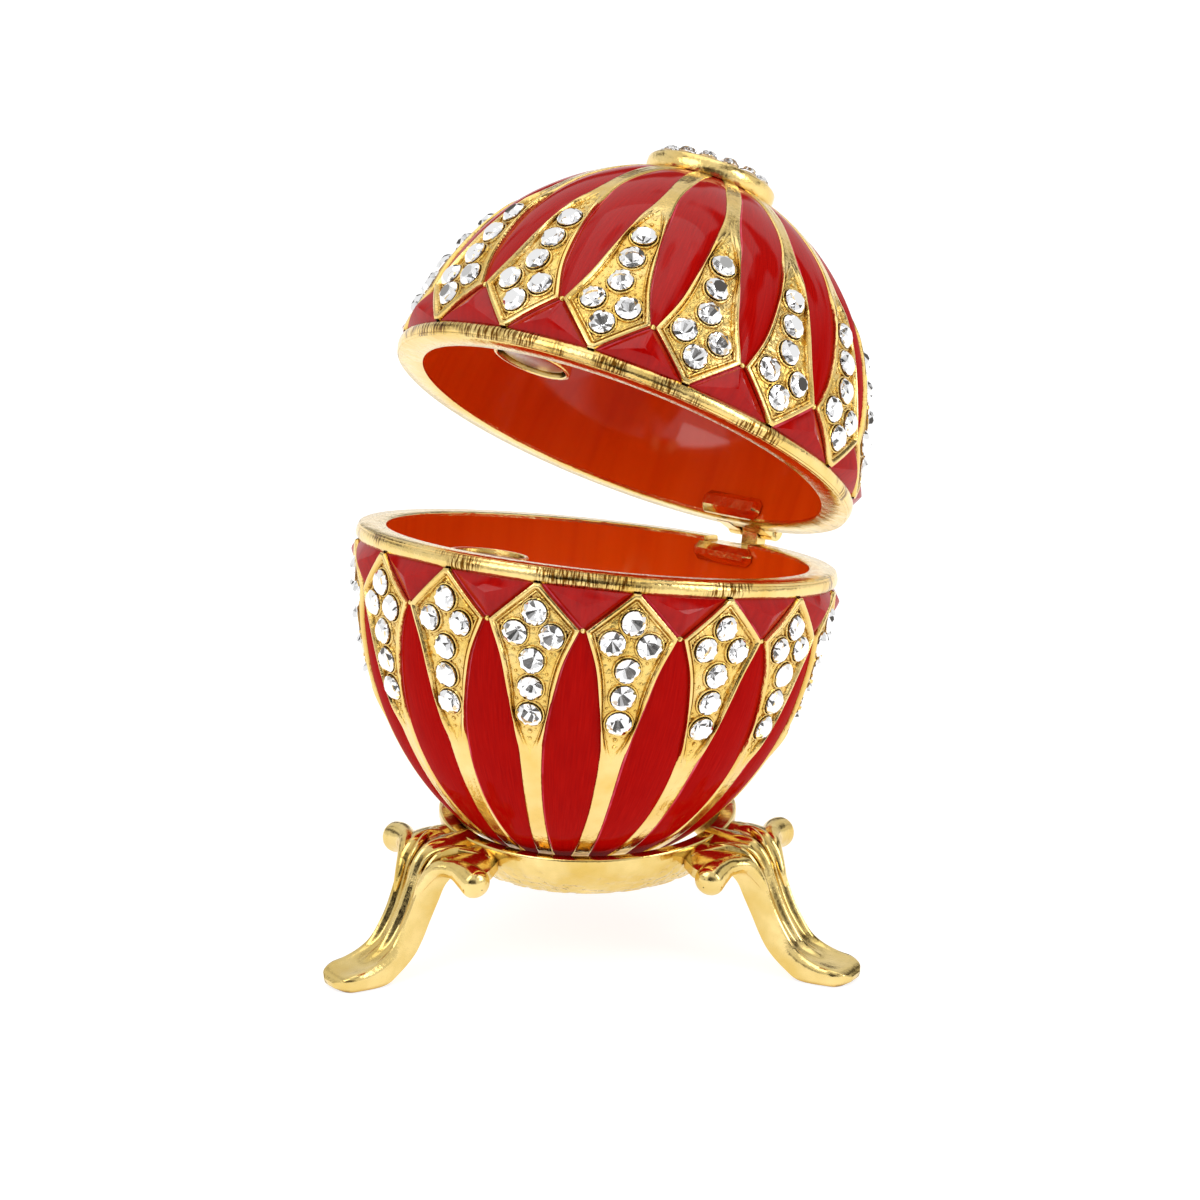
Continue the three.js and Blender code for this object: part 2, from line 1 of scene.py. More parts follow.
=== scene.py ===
# A jewelled egg trinket box with its lid ajar, leaning in a three-legged stand.
# Lengths are in mm until a mesh is made. Azimuths are in degrees from the front, towards +X.
import json
import math

import bmesh
import bpy
import numpy as np
from mathutils import Matrix, Vector


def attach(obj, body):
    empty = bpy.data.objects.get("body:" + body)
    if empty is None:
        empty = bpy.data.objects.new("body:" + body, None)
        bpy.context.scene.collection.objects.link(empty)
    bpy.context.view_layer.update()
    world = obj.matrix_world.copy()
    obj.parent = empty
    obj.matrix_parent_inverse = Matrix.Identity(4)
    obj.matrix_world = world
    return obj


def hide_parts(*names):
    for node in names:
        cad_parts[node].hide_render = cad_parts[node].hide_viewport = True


MM = 0.001
# corners closer than this are one corner
WELD = 1e-4
# how far the grain of a kite is shifted per degree, so that no two are alike
GRAIN_SHIFT = 7.3

# ---- the egg, as in the part's source: two half ellipsoids that meet at the rim ----
SECTORS = 15
STEP = 360 / SECTORS
FIRST_KITE = 8.4
RIM_RADIUS = 22.5
RIM_LAND = 2.45
LINING_RADIUS = RIM_RADIUS - RIM_LAND
BASE_DEPTH = 30.3
LID_HEIGHT = 26
FLOOR_WALL = 2
CAP_RADIUS = 4.8
CAP_RAISE = 0.16
CAP_LAP = 0.1
CURVE_SAMPLES = 4000
TANGENT_STEP = 0.01

# ---- the band at the rim: depth from the rim plane, height over the egg ----
BAND_DEPTH = 1.58
BAND_PROFILE = [(0.07, -0.02), (0.12, 0.1), (0.26, 0.17), (0.34, 0.14), (0.42, 0.22), (0.7, 0.31),
                (1.0, 0.33), (1.25, 0.28), (1.42, 0.17), (BAND_DEPTH + 0.02, 0)]
# the flat land behind it: distance in from its outer edge or out from its inner edge, depth
LAND_OUTER = [(0.03, 0.07), (0.12, 0)]
LAND_INNER = [(0.14, 0), (0, 0.08)]
# the gilt edge of the lining ends at this depth
GILT_DEPTH = 0.3

# ---- kites: half widths at depths from the rim plane ----
FIELD_END = 18.2
KITE_OUTLINE = [[5.5, 4.44], [8.95, 3.02], [11.6, 2.35], [14.15, 1.75], [17.5, 1.2]]
KITE_FIELD = [[5.75, 3.42], [8.95, 2.24], [11.6, 1.66], [14.15, 1.46], [15.6, 0.95], [FIELD_END, 0]]
APEX = [BAND_DEPTH, 0.35]
FIELD_APEX = [2.55, 0]
# half widths where the egg has these radii
TAIL = [[15.5, 0.9], [10.5, 0.82], [CAP_RADIUS, 0.8]]
# rows along the straight side of a kite, along its curved side and along its tail
SIDE_ROWS = 15
CURVE_ROWS = 46
TAIL_ROWS = 22
# across a border: share of the way from the outline to the field, height in the kite and in its tail
BORDER = [(0, 0, 0), (0.06, 0.24, 0.1), (0.13, 0.38, 0.15), (0.26, 0.43, 0.17), (0.42, 0.43, 0.17),
          (0.52, 0.36, 0.17), (0.6, 0.2, 0.17), (0.68, 0.16, 0.17), (0.76, 0.25, 0.16), (0.86, 0.27, 0.16),
          (0.94, 0.18, 0.16), (1, 0.03, 0.16)]
# the outer ridge of a border ends at this share, and below this depth the kite is a plain tail
RIDGE_SHARE = 0.6
TAIL_START = 17
# a border's height changes from the kite's to the tail's between these depths
BORDER_FADE = (15.8, 18.4)
# at the point of a kite, the outer share of its border stands this high
POINT_RAISE = 0.3
POINT_SHARE = 0.2
FIELD_COLUMNS = 31

# ---- enamel between the kites: depth and height of a pillow's peak, how far its edge is sunk ----
PILLOW_PEAK = [3.05, 0.95]
PILLOW_EDGE = 0.04
PILLOW_BULGE = 0.12
# how far the middle of a petal stands up, at depths from the rim, then where the egg has these radii
PETAL_RAISE = [[5.5, 0], [8.95, 0.14], [11.6, 0.22], [14.15, 0.26], [17.5, 0.25]]
PETAL_TAIL = [[15.5, 0.2], [10.5, 0.12], [CAP_RADIUS, 0.02]]
PETAL_EDGE = 0.04
PETAL_ROUND = 2.2
PETAL_SHARES = np.concatenate([[0, 0.035], np.linspace(0.07, 0.93, 13), [0.965, 1]])

# ---- stones and beads of a kite: distance to the side of its middle, depth ----
STONES = [(0, 4.38), (-1.76, 6.5), (1.76, 6.5), (0, 8.95), (0, 11.58), (0, 14.15)]
# beads, with their radii: those in the middle, then those that come in pairs
BEADS = [(0, 2.98, 0.17), (0, 5.98, 0.17), (0, 15.85, 0.24), (0, 16.55, 0.2)]
for across, below, size in [(0.62, 3.35, 0.1), (3, 5.5, 0.13), (1.78, 8.15, 0.16), (1.5, 10.15, 0.17),
                            (1.36, 12.8, 0.15), (0.55, 15.55, 0.1)]:
    BEADS += [(-across, below, size), (across, below, size)]
BEAD_RISE = 0.9
BEAD_SIDES = 8
# a bead bridges the corners of two kites, this much deeper than they are
BRIDGE_DROP = 0.08
BRIDGE_RADIUS = 0.3
STONE_RADIUS = 1.22
# the hollow under a stone: how much wider than the stone, height of its floor
WELL = (0.12, -0.95)
# the collar around a stone: how far outside the stone, height
COLLAR = [(0.26, 0), (0.2, 0.13), (0.08, 0.16), (0.02, 0.1), (0, -0.1)]

# ---- the cut of a stone: shares of its radius, heights over its foot ----
STONE_FOOT = 0.28
TABLE_CUT = (0.56, 0.55)
STAR_CUT = (0.76, 0.42)
GIRDLE_HEIGHT = 0.1
PAVILION_DEPTH = 0.8
SOLE_CUT = (0.93, -0.38)
STONE_TILT = 0.07
# share of a stone's back facets that are dark: painted dark reflection
DARK_SHARE = 0.2
BUTTON_DARK_SHARE = 0.1

# ---- hinge and catch ----
HINGE_AZIMUTH = FIRST_KITE + 5.5 * STEP
CATCH_AZIMUTH = HINGE_AZIMUTH - 180
PIN_REACH = 24.25
PIN_HEIGHT = 1.05
PIN_RADIUS = 0.4
BARREL_RADIUS = 0.9
KNUCKLE_WIDTH = 1.9
EAR_WIDTH = 1.6
EAR_OFFSET = (KNUCKLE_WIDTH + EAR_WIDTH) / 2 + 0.15
HINGE_WIDTH = 2 * EAR_OFFSET + EAR_WIDTH
NOTCH_WIDTH = HINGE_WIDTH + 0.5
NOTCH_DEPTH = 0.45
# half the width of the step at a notch's end, in degrees
NOTCH_STEP = 0.02
BOSS_WIDTH = HINGE_WIDTH + 1.5
BOSS_REACH = 3.6
BOSS_DEPTH = 2.2
BOSS_CUT = 0.6
BLOCK_CUT = 0.18
BOSS_LAP = 0.02
# how far the lid's boss stays back from the rim plane
RIM_STEP = 0.05
# the outer blocks of the hinge start at this radius, inside the wall that carries them
HINGE_ROOT = RIM_RADIUS - 1
POST_INNER = PIN_REACH - 0.8
POST_OUTER = PIN_REACH + 0.65
POST_FOOT = 1
EAR_OUTER = PIN_REACH + 0.3
EAR_HALF = 0.72
SMALL_CUT = 0.1
BARREL_BEVEL = 0.12
PIN_PROUD = 0.15
PIN_BEVEL = 0.08
RIM_GAP = 0.35
LID_OPENING = 24.3
CUP_REACH = 16.6
CUP_RADIUS = 3.8
CUP_TAPER = 0.3
CUP_SINK = 0.3
CUP_DEPTH = 2.6
POCKET_DEPTH = 2.4
MAGNET_RADIUS = 3.1
MAGNET_SINK = 0.55
MAGNET_THICKNESS = 1.6
MAGNET_GAP = 0.3

# ---- top button ----
BUTTON_RADIUS = 6.3
BUTTON_HEIGHT = 1.55
BUTTON_DROP = 0.7
BUTTON_SHIFT = -0.75
BUTTON_TILT = math.atan(BUTTON_SHIFT * LID_HEIGHT / RIM_RADIUS ** 2)
# rings of stones: count, distance from the middle
BUTTON_RINGS = [(1, 0), (7, 2.5), (14, 4.75)]
BUTTON_STONE = 0.95
BUTTON_COLLAR = [(0.2, -0.24), (0.15, 0), (0.05, 0.1), (0, -0.05)]
BUTTON_FIELD = BUTTON_HEIGHT - 0.22
BUTTON_SEAT = BUTTON_HEIGHT - 0.05
# its hollow underside as (radius, height)
BUTTON_UNDERSIDE = [(0, 1.05), (2.7, 0.9), (4.8, 0.42)]
# its rolled foot, its wall and its lip, down to the sunk field: how far inside its radius, height
BUTTON_WALL = [(0.6, -0.12), (0.46, -0.17), (0.26, -0.1), (0.12, 0.2), (0.02, 0.5), (0, 0.8), (0.02, 1.2),
               (0.1, BUTTON_HEIGHT - 0.18), (0.24, BUTTON_HEIGHT - 0.04), (0.4, BUTTON_HEIGHT),
               (0.52, BUTTON_HEIGHT - 0.05), (0.62, BUTTON_FIELD)]
# beads between its stones: how far outside a stone's middle, radius, height
BUTTON_BEAD = (0.75, 0.2, 0.24)

# ---- stand ----
# the ring's section as (radius, height)
RING_SECTION = [(12.5, 12.38), (12.62, 12.5), (13.3, 12.62), (13.8, 12.66), (14.0, 12.58), (14.07, 12.3),
                (14.0, 11.6), (13.72, 10.8), (13.35, 10.1), (12.9, 9.5), (12.3, 8.85), (11.75, 8.38),
                (11.4, 8.2), (11.1, 8.22), (10.85, 8.45), (10.95, 8.8), (11.5, 10), (12.2, 11.6)]
RING_SIDES = 420
# the hammered skirt lies outside this radius and below this height, at about a mean radius
SKIRT_INSIDE = 11.2
SKIRT_TOP = 11.2
SKIRT_RADIUS = 12.8
DENTS = 620
DENT_SIZE = (0.35, 0.6)
DENT_DEPTH = 0.11

LEG_AZIMUTHS = [-58.15, 61.85, 181.85]
# a leg's strap: its outer face and its inner face as (reach, height), half width, height of its ribs
LEG = [[14.6, 12.3, 14.4, 10.4, 3.6, 0.1], [16.2, 12.45, 15.3, 10.3, 3.1, 0.3],
       [17.8, 12, 16.3, 9.6, 2.8, 0.42], [19, 10.65, 17.1, 8.8, 2.6, 0.45],
       [19.8, 8.5, 17.65, 7.4, 2.35, 0.42], [20.75, 6.2, 18.5, 5.5, 2.2, 0.42],
       [21.65, 4.6, 19.3, 3.8, 2.2, 0.4], [22.65, 3.3, 20.3, 2.3, 2.25, 0.32],
       [23.9, 2.5, 22, 0.9, 2.4, 0.14], [25.5, 2, 23.7, 0, 2.5, 0], [27, 1.75, 26.8, 0, 2.45, 0],
       [28.15, 1.35, 27.65, 0, 1.9, 0], [28.65, 0.9, 28.5, 0.35, 0.9, 0]]
# across a strap, in shares of its half width, thickness and rib height
RIB_PITCH = 0.84
RIB_VALLEY = -0.35
STRAP_EDGE = 0.72
STRAP_ROUND = 0.12
# half of its underside, and its side: shares of its half width and thickness
STRAP_SIDE = [(0.8, 0), (0.92, 0.08), (0.98, 0.35)]
# the strap's upper face is above this share of its thickness
UPPER_FACE = 0.9
# the hollow in a foot: depth, share of the foot's half width, the reaches where it starts and ends
SPOON_DEPTH = 0.16
SPOON_WIDTH = 0.7
SPOON_START = (24, 25.5)
SPOON_END = (26.8, 28)

# the web of a leg: reach, half width, height of its middle, thickness
FAN = [[12.9, 5.0, 12.3, 1.1], [15.2, 6.3, 12.15, 1.5], [17.0, 5.6, 11.95, 2.0], [18.5, 2.35, 11.5, 1.9]]
# its sides droop by this share of its half width
FAN_DROOP = 1.2 / 7
FAN_FLUTE = 0.5
FAN_FLUTES = 1.5
FLUTE_FADE = (17.6, 18.6)
# a fan's side is thinner than its middle by this share, from where it leaves the ring
FAN_THINNING = 0.62
THINNING_START = (14, 16)

# the arm of a scroll and a rib of the fan, as (reach, side, height, radius)
ARM = [[20.3, 1.75, 7.4, 0.2], [19.55, 1.95, 9.3, 0.5], [18.5, 2.7, 10.9, 0.75], [17.4, 4.3, 11.2, 0.95],
       [16.9, 6.0, 10.9, 1.35], [16.75, 7.2, 10.55, 1.5], [16.7, 8.15, 10.3, 1.5]]
ARM_ROUND = 1.25
FAN_RIB = [[19.4, 0.95, 10.1, 0.1], [18.3, 1.15, 11.65, 0.3], [16.9, 1.9, 12.3, 0.36],
           [15.2, 3.3, 12.15, 0.36], [13.7, 4.8, 11.75, 0.2]]

# the egg's axis leans by this angle, towards this azimuth
LEAN = 15.3
LEAN_AZIMUTH = 180 - 23.6

rng = np.random.default_rng(7)
deg = np.degrees
rad = np.radians


# ---- lines and places ----

def flow(x, table):
    """A smooth line through the rows (x, y) of a table, read at x"""
    xs, ys = np.asarray(table, float).T
    slope = np.gradient(ys, xs)
    k = np.clip(np.searchsorted(xs, x) - 1, 0, len(xs) - 2)
    width = xs[k + 1] - xs[k]
    t = np.clip((x - xs[k]) / width, 0, 1)
    start = (1 + 2 * t) * (1 - t) ** 2 * ys[k] + t * (1 - t) ** 2 * width * slope[k]
    return start + t * t * (3 - 2 * t) * ys[k + 1] + t * t * (t - 1) * width * slope[k + 1]


def through(rows, count):
    """A smooth line through the rows of a table, as count rows"""
    rows = np.asarray(rows, float)
    index = np.arange(len(rows))
    at = np.linspace(0, len(rows) - 1, count)
    return np.stack([flow(at, np.stack([index, column], -1)) for column in rows.T], -1)


def step_up(low, high, x):
    """A smooth step from 0 below low to 1 above high"""
    t = np.clip((x - low) / (high - low), 0, 1)
    return t * t * (3 - 2 * t)


def radial(azimuth, reach, z):
    a = rad(azimuth)
    return np.stack(np.broadcast_arrays(reach * np.sin(a), -reach * np.cos(a), z), -1)


def outward(azimuth, reach=0, side=0, z=0):
    """A place on the egg or the stand whose X points outwards at an azimuth"""
    turn = Matrix.Rotation(rad(azimuth - 90), 4, "Z")
    return turn @ Matrix.Translation((reach, side, z))


# ---- pieces ----

class Piece:
    """Corners, faces, material numbers and grain coordinates of one object, in mm"""

    def __init__(self):
        self.points = []
        self.grain = []
        self.faces = []
        self.marks = []
        self.count = 0

    def add(self, points, faces, mark=0, grain=None):
        points = np.asarray(points, float).reshape(-1, 3)
        if grain is None:
            grain = points[:, :2]
        self.points.append(points)
        self.grain.append(np.asarray(grain, float).reshape(-1, 2))
        faces = np.asarray(faces, int) + self.count
        self.faces.append(faces)
        self.marks += [mark] * len(faces)
        self.count += len(points)

    def grid(self, points, mark=0, grain=None, around=False, flip=False):
        """Quads over rows of points; around joins the last column to the first"""
        rows, columns = points.shape[:2]
        index = np.arange(rows * columns).reshape(rows, columns)
        if around:
            index = np.concatenate([index, index[:, :1]], 1)
        quads = np.stack([index[:-1, :-1], index[:-1, 1:], index[1:, 1:], index[1:, :-1]], -1).reshape(-1, 4)
        self.add(points, quads[:, ::-1] if flip else quads, mark, grain)

    def lathe(self, profile, sides, place=None, mark=0, flip=False):
        """(radius, height) points turned about Z"""
        profile = np.asarray(profile, float)
        turn = np.linspace(0, 2 * np.pi, sides, endpoint=False)
        r, z = profile[:, :1], profile[:, 1:]
        points = np.stack(np.broadcast_arrays(r * np.cos(turn), r * np.sin(turn), z), -1)
        self.grid(moved(points, place), mark, around=True, flip=flip)

    def hull(self, points, place=None, mark=0):
        """The convex solid around some points"""
        solid = bmesh.new()
        corners = [solid.verts.new(point) for point in points]
        bmesh.ops.convex_hull(solid, input=corners)
        solid.verts.index_update()
        where = np.array([vertex.co[:] for vertex in solid.verts])
        for face in solid.faces:
            self.add(moved(where[[v.index for v in face.verts]], place), [list(range(len(face.verts)))], mark)
        solid.free()

    def make(self, name, place, body, materials, sharp=35):
        points = np.concatenate(self.points)
        grain = np.concatenate(self.grain)
        whole, inverse = np.unique(np.round(points / WELD).astype(np.int64), axis=0, return_inverse=True)
        inverse = inverse.ravel()
        faces, marks, coords = [], [], []
        rows = (row for block in self.faces for row in block)
        for row, mark in zip(rows, self.marks):
            face, kept = [], []
            for old in row:
                new = inverse[old]
                if new not in face:
                    face.append(int(new))
                    kept.append(old)
            if len(face) > 2:
                faces.append(face)
                marks.append(mark)
                coords += kept
        mesh = bpy.data.meshes.new(name)
        mesh.from_pydata((moved(whole * WELD, place) * MM).tolist(), [], faces)
        mesh.polygons.foreach_set("material_index", marks)
        layer = mesh.uv_layers.new(name="grain")
        layer.data.foreach_set("uv", grain[coords].ravel())
        for material in materials:
            mesh.materials.append(material)
        mesh.validate()
        mesh.shade_smooth()
        mesh.set_sharp_from_angle(angle=rad(sharp))
        made = bpy.data.objects.new(name, mesh)
        scene.collection.objects.link(made)
        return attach(made, body)


def moved(points, place):
    if place is None:
        return points
    matrix = np.array(place)
    return points @ matrix[:3, :3].T + matrix[:3, 3]


def dome(radius, height):
    """The profile of a bead"""
    turn = np.linspace(0, np.pi / 2, 4)
    return np.stack([radius * np.cos(turn), height * np.sin(turn)], -1)


def around_stone(collar, radius):
    return [(radius + outside, height) for outside, height in collar]


def box_points(low, high, cut):
    """Corners of a box with its edges cut back"""
    points = []
    for corner in np.ndindex(2, 2, 2):
        for axis in range(3):
            point = [high[k] if corner[k] else low[k] for k in range(3)]
            for k in range(3):
                if k != axis:
                    point[k] += -cut if corner[k] else cut
            points.append(point)
    return points


# ---- egg shells ----

GOLD, KITE, RED, EDGE, LINING, BAND, PILLOW = range(7)


class Half:
    """One half of the egg. up is 1 for the lid, whose depths run upwards, and -1 for the base."""

    def __init__(self, height, up):
        self.height = height
        self.up = up
        self.piece = Piece()
        turn = np.linspace(0, np.pi / 2, CURVE_SAMPLES)
        self.depths = height * np.sin(turn)
        self.radii = RIM_RADIUS * np.cos(turn)
        steps = np.hypot(np.diff(self.depths), np.diff(self.radii))
        self.arcs = np.concatenate([[0], np.cumsum(steps)])
        self.outline = self.path(APEX, KITE_OUTLINE, TAIL)
        self.inner = self.path(FIELD_APEX, KITE_FIELD, [[r, 0] for r, _ in TAIL])
        self.spread = deg(self.outline[:, 0] / self.radius(self.outline[:, 1]))

    def arc(self, depth):
        return np.interp(depth, self.depths, self.arcs)

    def radius(self, arc):
        return np.interp(arc, self.arcs, self.radii)

    def sink(self, azimuth):
        """How deep the rim is cut at the hinge"""
        half = deg(NOTCH_WIDTH / 2 / RIM_RADIUS)
        away = np.abs((azimuth - HINGE_AZIMUTH + 180) % 360 - 180)
        return np.where(away < half, NOTCH_DEPTH, 0) if self.up < 0 else np.zeros_like(azimuth)

    def surface(self, azimuth, arc, raised):
        azimuth, arc, raised = np.broadcast_arrays(azimuth, arc, raised)
        r = self.radius(arc)
        depth = np.interp(arc, self.arcs, self.depths)
        out, along = r / RIM_RADIUS ** 2, depth / self.height ** 2
        size = np.hypot(out, along)
        return radial(azimuth, r + raised * out / size, self.up * (depth + raised * along / size))

    def beside(self, azimuth, side, arc, raised):
        radius = np.maximum(self.radius(arc), CAP_RADIUS)
        return self.surface(azimuth + deg(side / radius), arc, raised)

    def patch(self, azimuth, side, arc, raised, mark, mirror=False):
        side, arc, raised = np.broadcast_arrays(side, arc, raised)
        grain = np.stack([side + azimuth * GRAIN_SHIFT, arc], -1)
        points = self.beside(azimuth, -side if mirror else side, arc, raised)
        self.piece.grid(points, mark, grain, flip=mirror == (self.up > 0))

    def rows(self, table, tail):
        """Values at depths, then at radii of the egg, as values at arcs from the rim"""
        depths = [self.height * math.sqrt(1 - (r / RIM_RADIUS) ** 2) for r, _ in tail]
        return [[self.arc(depth), value] for depth, value in table] + [
            [self.arc(depth), value] for depth, (_, value) in zip(depths, tail)]

    def path(self, apex, table, tail):
        """A kite's line as (side, arc): straight to its corner, then a smooth curve to the cap"""
        rows = self.rows(table, tail)
        start, corner = [self.arc(apex[0]), apex[1]], rows[0]
        end = self.arc(FIELD_END)
        upper = np.linspace(start, corner, SIDE_ROWS)[:-1]
        near = np.linspace(corner[0], end, CURVE_ROWS)
        far = np.linspace(end, rows[-1][0], TAIL_ROWS)[1:]
        arcs = np.concatenate([near, far])
        widths = flow(arcs, rows)
        # a field has no tail
        if tail[0][1] == 0:
            widths = np.where(arcs < end, np.maximum(widths, 0), 0)
        return np.concatenate([upper, np.stack([arcs, widths], -1)])[:, ::-1]

    def fade(self, arc):
        """From 0 where a kite's border is full to 1 where it is a plain tail"""
        start, end = BORDER_FADE
        return step_up(self.arc(start), self.arc(end), arc)

    def kite(self, azimuth):
        share, high, low = np.array(BORDER).T
        line = self.outline[:, None] + (self.inner - self.outline)[:, None] * share[:, None]
        raised = high + (low - high) * self.fade(line[..., 1])
        plain = np.searchsorted(line[:, 0, 1], self.arc(TAIL_START))
        ridge = np.searchsorted(share, RIDGE_SHARE)
        parts = [(slice(plain + 1), slice(ridge + 1), GOLD), (slice(plain + 1), slice(ridge, None), KITE),
                 (slice(plain, None), slice(None), GOLD)]
        for mirror in (False, True):
            for rows, columns, mark in parts:
                part = line[rows, columns]
                self.patch(azimuth, part[..., 0], part[..., 1], raised[rows, columns], mark, mirror)
        # the point of the border, between its two sides
        across = np.array([1, 0.5, 0, -0.5, -1])
        start = np.maximum(raised[0], POINT_RAISE * (share < POINT_SHARE))
        self.patch(azimuth, line[0, :, :1] * across, line[0, :, 1:], start[:, None], GOLD, True)
        self.field(azimuth)
        for side, depth, size in BEADS:
            self.bead(azimuth, side, depth, size)
        # the bridge to the next kite's corner
        self.bead(azimuth + STEP / 2, 0, KITE_OUTLINE[0][0] + BRIDGE_DROP, BRIDGE_RADIUS)
        for side, depth in STONES:
            self.seat(azimuth, side, depth)

    def field(self, azimuth):
        """The field inside a border, with a well under each stone"""
        count = len(self.inner)
        rows = np.linspace(0, count - 1, 2 * count)
        path = np.stack([np.interp(rows, np.arange(count), column) for column in self.inner.T], -1)
        side, arcs = np.broadcast_arrays(path[:, :1] * np.linspace(-1, 1, FIELD_COLUMNS), path[:, 1:])
        high, low = BORDER[-1][1:]
        level = high + (low - high) * self.fade(arcs)
        wider, floor = WELL
        for middle, depth in STONES:
            away = np.hypot(side - middle, arcs - self.arc(depth))
            level = np.where(away < STONE_RADIUS + wider, floor, level)
        self.patch(azimuth, side, arcs, level, KITE, True)

    def spot(self, azimuth, side, depth):
        """A place on the shell whose Z is the shell's normal"""
        arc = self.arc(depth)
        around = azimuth + deg(side / self.radius(arc))
        here = Vector(self.surface(around, arc, 0))
        normal = (Vector(self.surface(around, arc, 1)) - here).normalized()
        tangent = (Vector(self.surface(around, arc + TANGENT_STEP, 0)) - here).normalized()
        axes = Matrix((normal.cross(tangent), tangent, normal)).transposed()
        return Matrix.Translation(here) @ axes.to_4x4()

    def bead(self, azimuth, side, depth, size):
        self.piece.lathe(dome(size, size * BEAD_RISE), BEAD_SIDES, self.spot(azimuth, side, depth), KITE)

    def seat(self, azimuth, side, depth):
        """The collar that holds a stone"""
        self.piece.lathe(around_stone(COLLAR, STONE_RADIUS), 20, self.spot(azimuth, side, depth), KITE)

    def pillow(self, azimuth):
        """Three facets that rise from the band and from two kites to one peak"""
        arc, half = self.outline[:SIDE_ROWS, 1], self.spread[:SIDE_ROWS]
        middle = azimuth + STEP / 2
        left = np.stack([azimuth + half, arc], -1)
        right = np.stack([azimuth + STEP - half, arc], -1)
        foot = np.array([[middle, arc[-1]]])
        top = np.stack(np.broadcast_arrays(np.linspace(right[0, 0], left[0, 0], 19), arc[0]), -1)
        peak = np.array([middle, self.arc(PILLOW_PEAK[0])])
        rise = np.linspace(0, 1, 10)
        edges = [np.concatenate([left, foot]), np.concatenate([foot, right[::-1]]), top]
        for edge in edges:
            place = edge[None] + (peak - edge)[None] * rise[:, None, None]
            raised = -PILLOW_EDGE + PILLOW_PEAK[1] * ((1 + PILLOW_BULGE) * rise - PILLOW_BULGE * rise ** 3)
            points = self.surface(place[..., 0], place[..., 1], raised[:, None])
            grain = np.stack([rad(place[..., 0]) * RIM_RADIUS, place[..., 1]], -1)
            # a strip along one edge is pink: a painted reflection
            split = 1 if edge is edges[0] else 0
            self.piece.grid(points[:split + 1], EDGE, grain[:split + 1], flip=self.up < 0)
            self.piece.grid(points[split:], PILLOW, grain[split:], flip=self.up < 0)

    def petal(self, azimuth):
        """The domed enamel between two kites, with a pink strip of painted reflection along one of them"""
        arc, half = self.outline[SIDE_ROWS - 1:, 1:], self.spread[SIDE_ROWS - 1:, None]
        around = azimuth + half + (STEP - 2 * half) * PETAL_SHARES
        table = self.rows(PETAL_RAISE, PETAL_TAIL)
        crown = 1 - np.abs(2 * PETAL_SHARES - 1) ** PETAL_ROUND
        points = self.surface(around, arc, PETAL_EDGE + flow(arc, table) * crown)
        grain = np.stack(np.broadcast_arrays(rad(around) * RIM_RADIUS, arc), -1)
        for part, mark in ((slice(2), EDGE), (slice(1, None), RED)):
            self.piece.grid(points[:, part], mark, grain[:, part], flip=self.up > 0)

    def rim(self):
        """The band, the flat land, and the enamelled inside"""
        notch = deg(NOTCH_WIDTH / 2 / RIM_RADIUS)
        steps = (-NOTCH_STEP, NOTCH_STEP)
        edges = [HINGE_AZIMUTH + side * notch + step for side in (-1, 1) for step in steps]
        around = np.union1d(np.arange(0, 360, 1.2), edges)
        sink = self.sink(around)
        depth, raised = np.array(BAND_PROFILE).T
        arc = self.arc(np.maximum(depth[:, None], sink))
        points = self.surface(around, arc, raised[:, None])
        grain = np.stack(np.broadcast_arrays(rad(around) * RIM_RADIUS, arc), -1)
        self.piece.grid(points, BAND, grain, around=True, flip=self.up > 0)
        land = [(RIM_RADIUS - inside, depth) for inside, depth in LAND_OUTER]
        land += [(LINING_RADIUS + outside, depth) for outside, depth in LAND_INNER]
        reach, fall = np.array(land).T
        points = radial(around, reach[:, None], self.up * np.maximum(fall[:, None], sink))
        self.piece.grid(points, GOLD, around=True, flip=self.up < 0)
        floor = self.height - FLOOR_WALL
        gilt = np.array([LAND_INNER[-1][1], GILT_DEPTH])
        lining = floor * np.sin(np.linspace(GILT_DEPTH / floor, np.pi / 2, 40))
        for rows, mark in ((gilt, GOLD), (lining, LINING)):
            r = LINING_RADIUS * np.sqrt(np.maximum(0, 1 - (rows / floor) ** 2))
            points = radial(around, r[:, None], self.up * np.maximum(rows[:, None], sink))
            self.piece.grid(points, mark, around=True, flip=self.up < 0)

    def cap(self):
        """The round gold end where the kites' tails meet"""
        start = self.arc(self.height * math.sqrt(1 - (CAP_RADIUS / RIM_RADIUS) ** 2))
        arc = np.linspace(start - CAP_LAP, self.arcs[-1], 10)
        points = self.surface(np.arange(0, 360, 3.0), arc[:, None], CAP_RAISE)
        self.piece.grid(points, GOLD, around=True, flip=self.up > 0)

    def cup(self):
        """The magnet's cup"""
        place = outward(CATCH_AZIMUTH, CUP_REACH) @ Matrix.Diagonal((1, 1, self.up, 1))
        foot = CUP_SINK + CUP_DEPTH
        pocket, floor = MAGNET_RADIUS + MAGNET_GAP, CUP_SINK + POCKET_DEPTH
        wall = [(CUP_RADIUS - CUP_TAPER, foot), (CUP_RADIUS, CUP_SINK + 0.2),
                (CUP_RADIUS - 0.06, CUP_SINK + 0.04), (CUP_RADIUS - 0.16, CUP_SINK),
                (pocket + 0.1, CUP_SINK), (pocket, CUP_SINK + 0.1), (pocket, floor), (0, floor)]
        self.piece.lathe(wall, 72, place, GOLD, flip=self.up > 0)
        self.piece.lathe([(0, foot), wall[0]], 72, place, LINING, flip=self.up > 0)

    def build(self):
        for k in range(SECTORS):
            azimuth = FIRST_KITE + k * STEP
            self.kite(azimuth)
            self.pillow(azimuth)
            self.petal(azimuth)
        self.rim()
        self.cap()
        self.cup()
        return self.piece

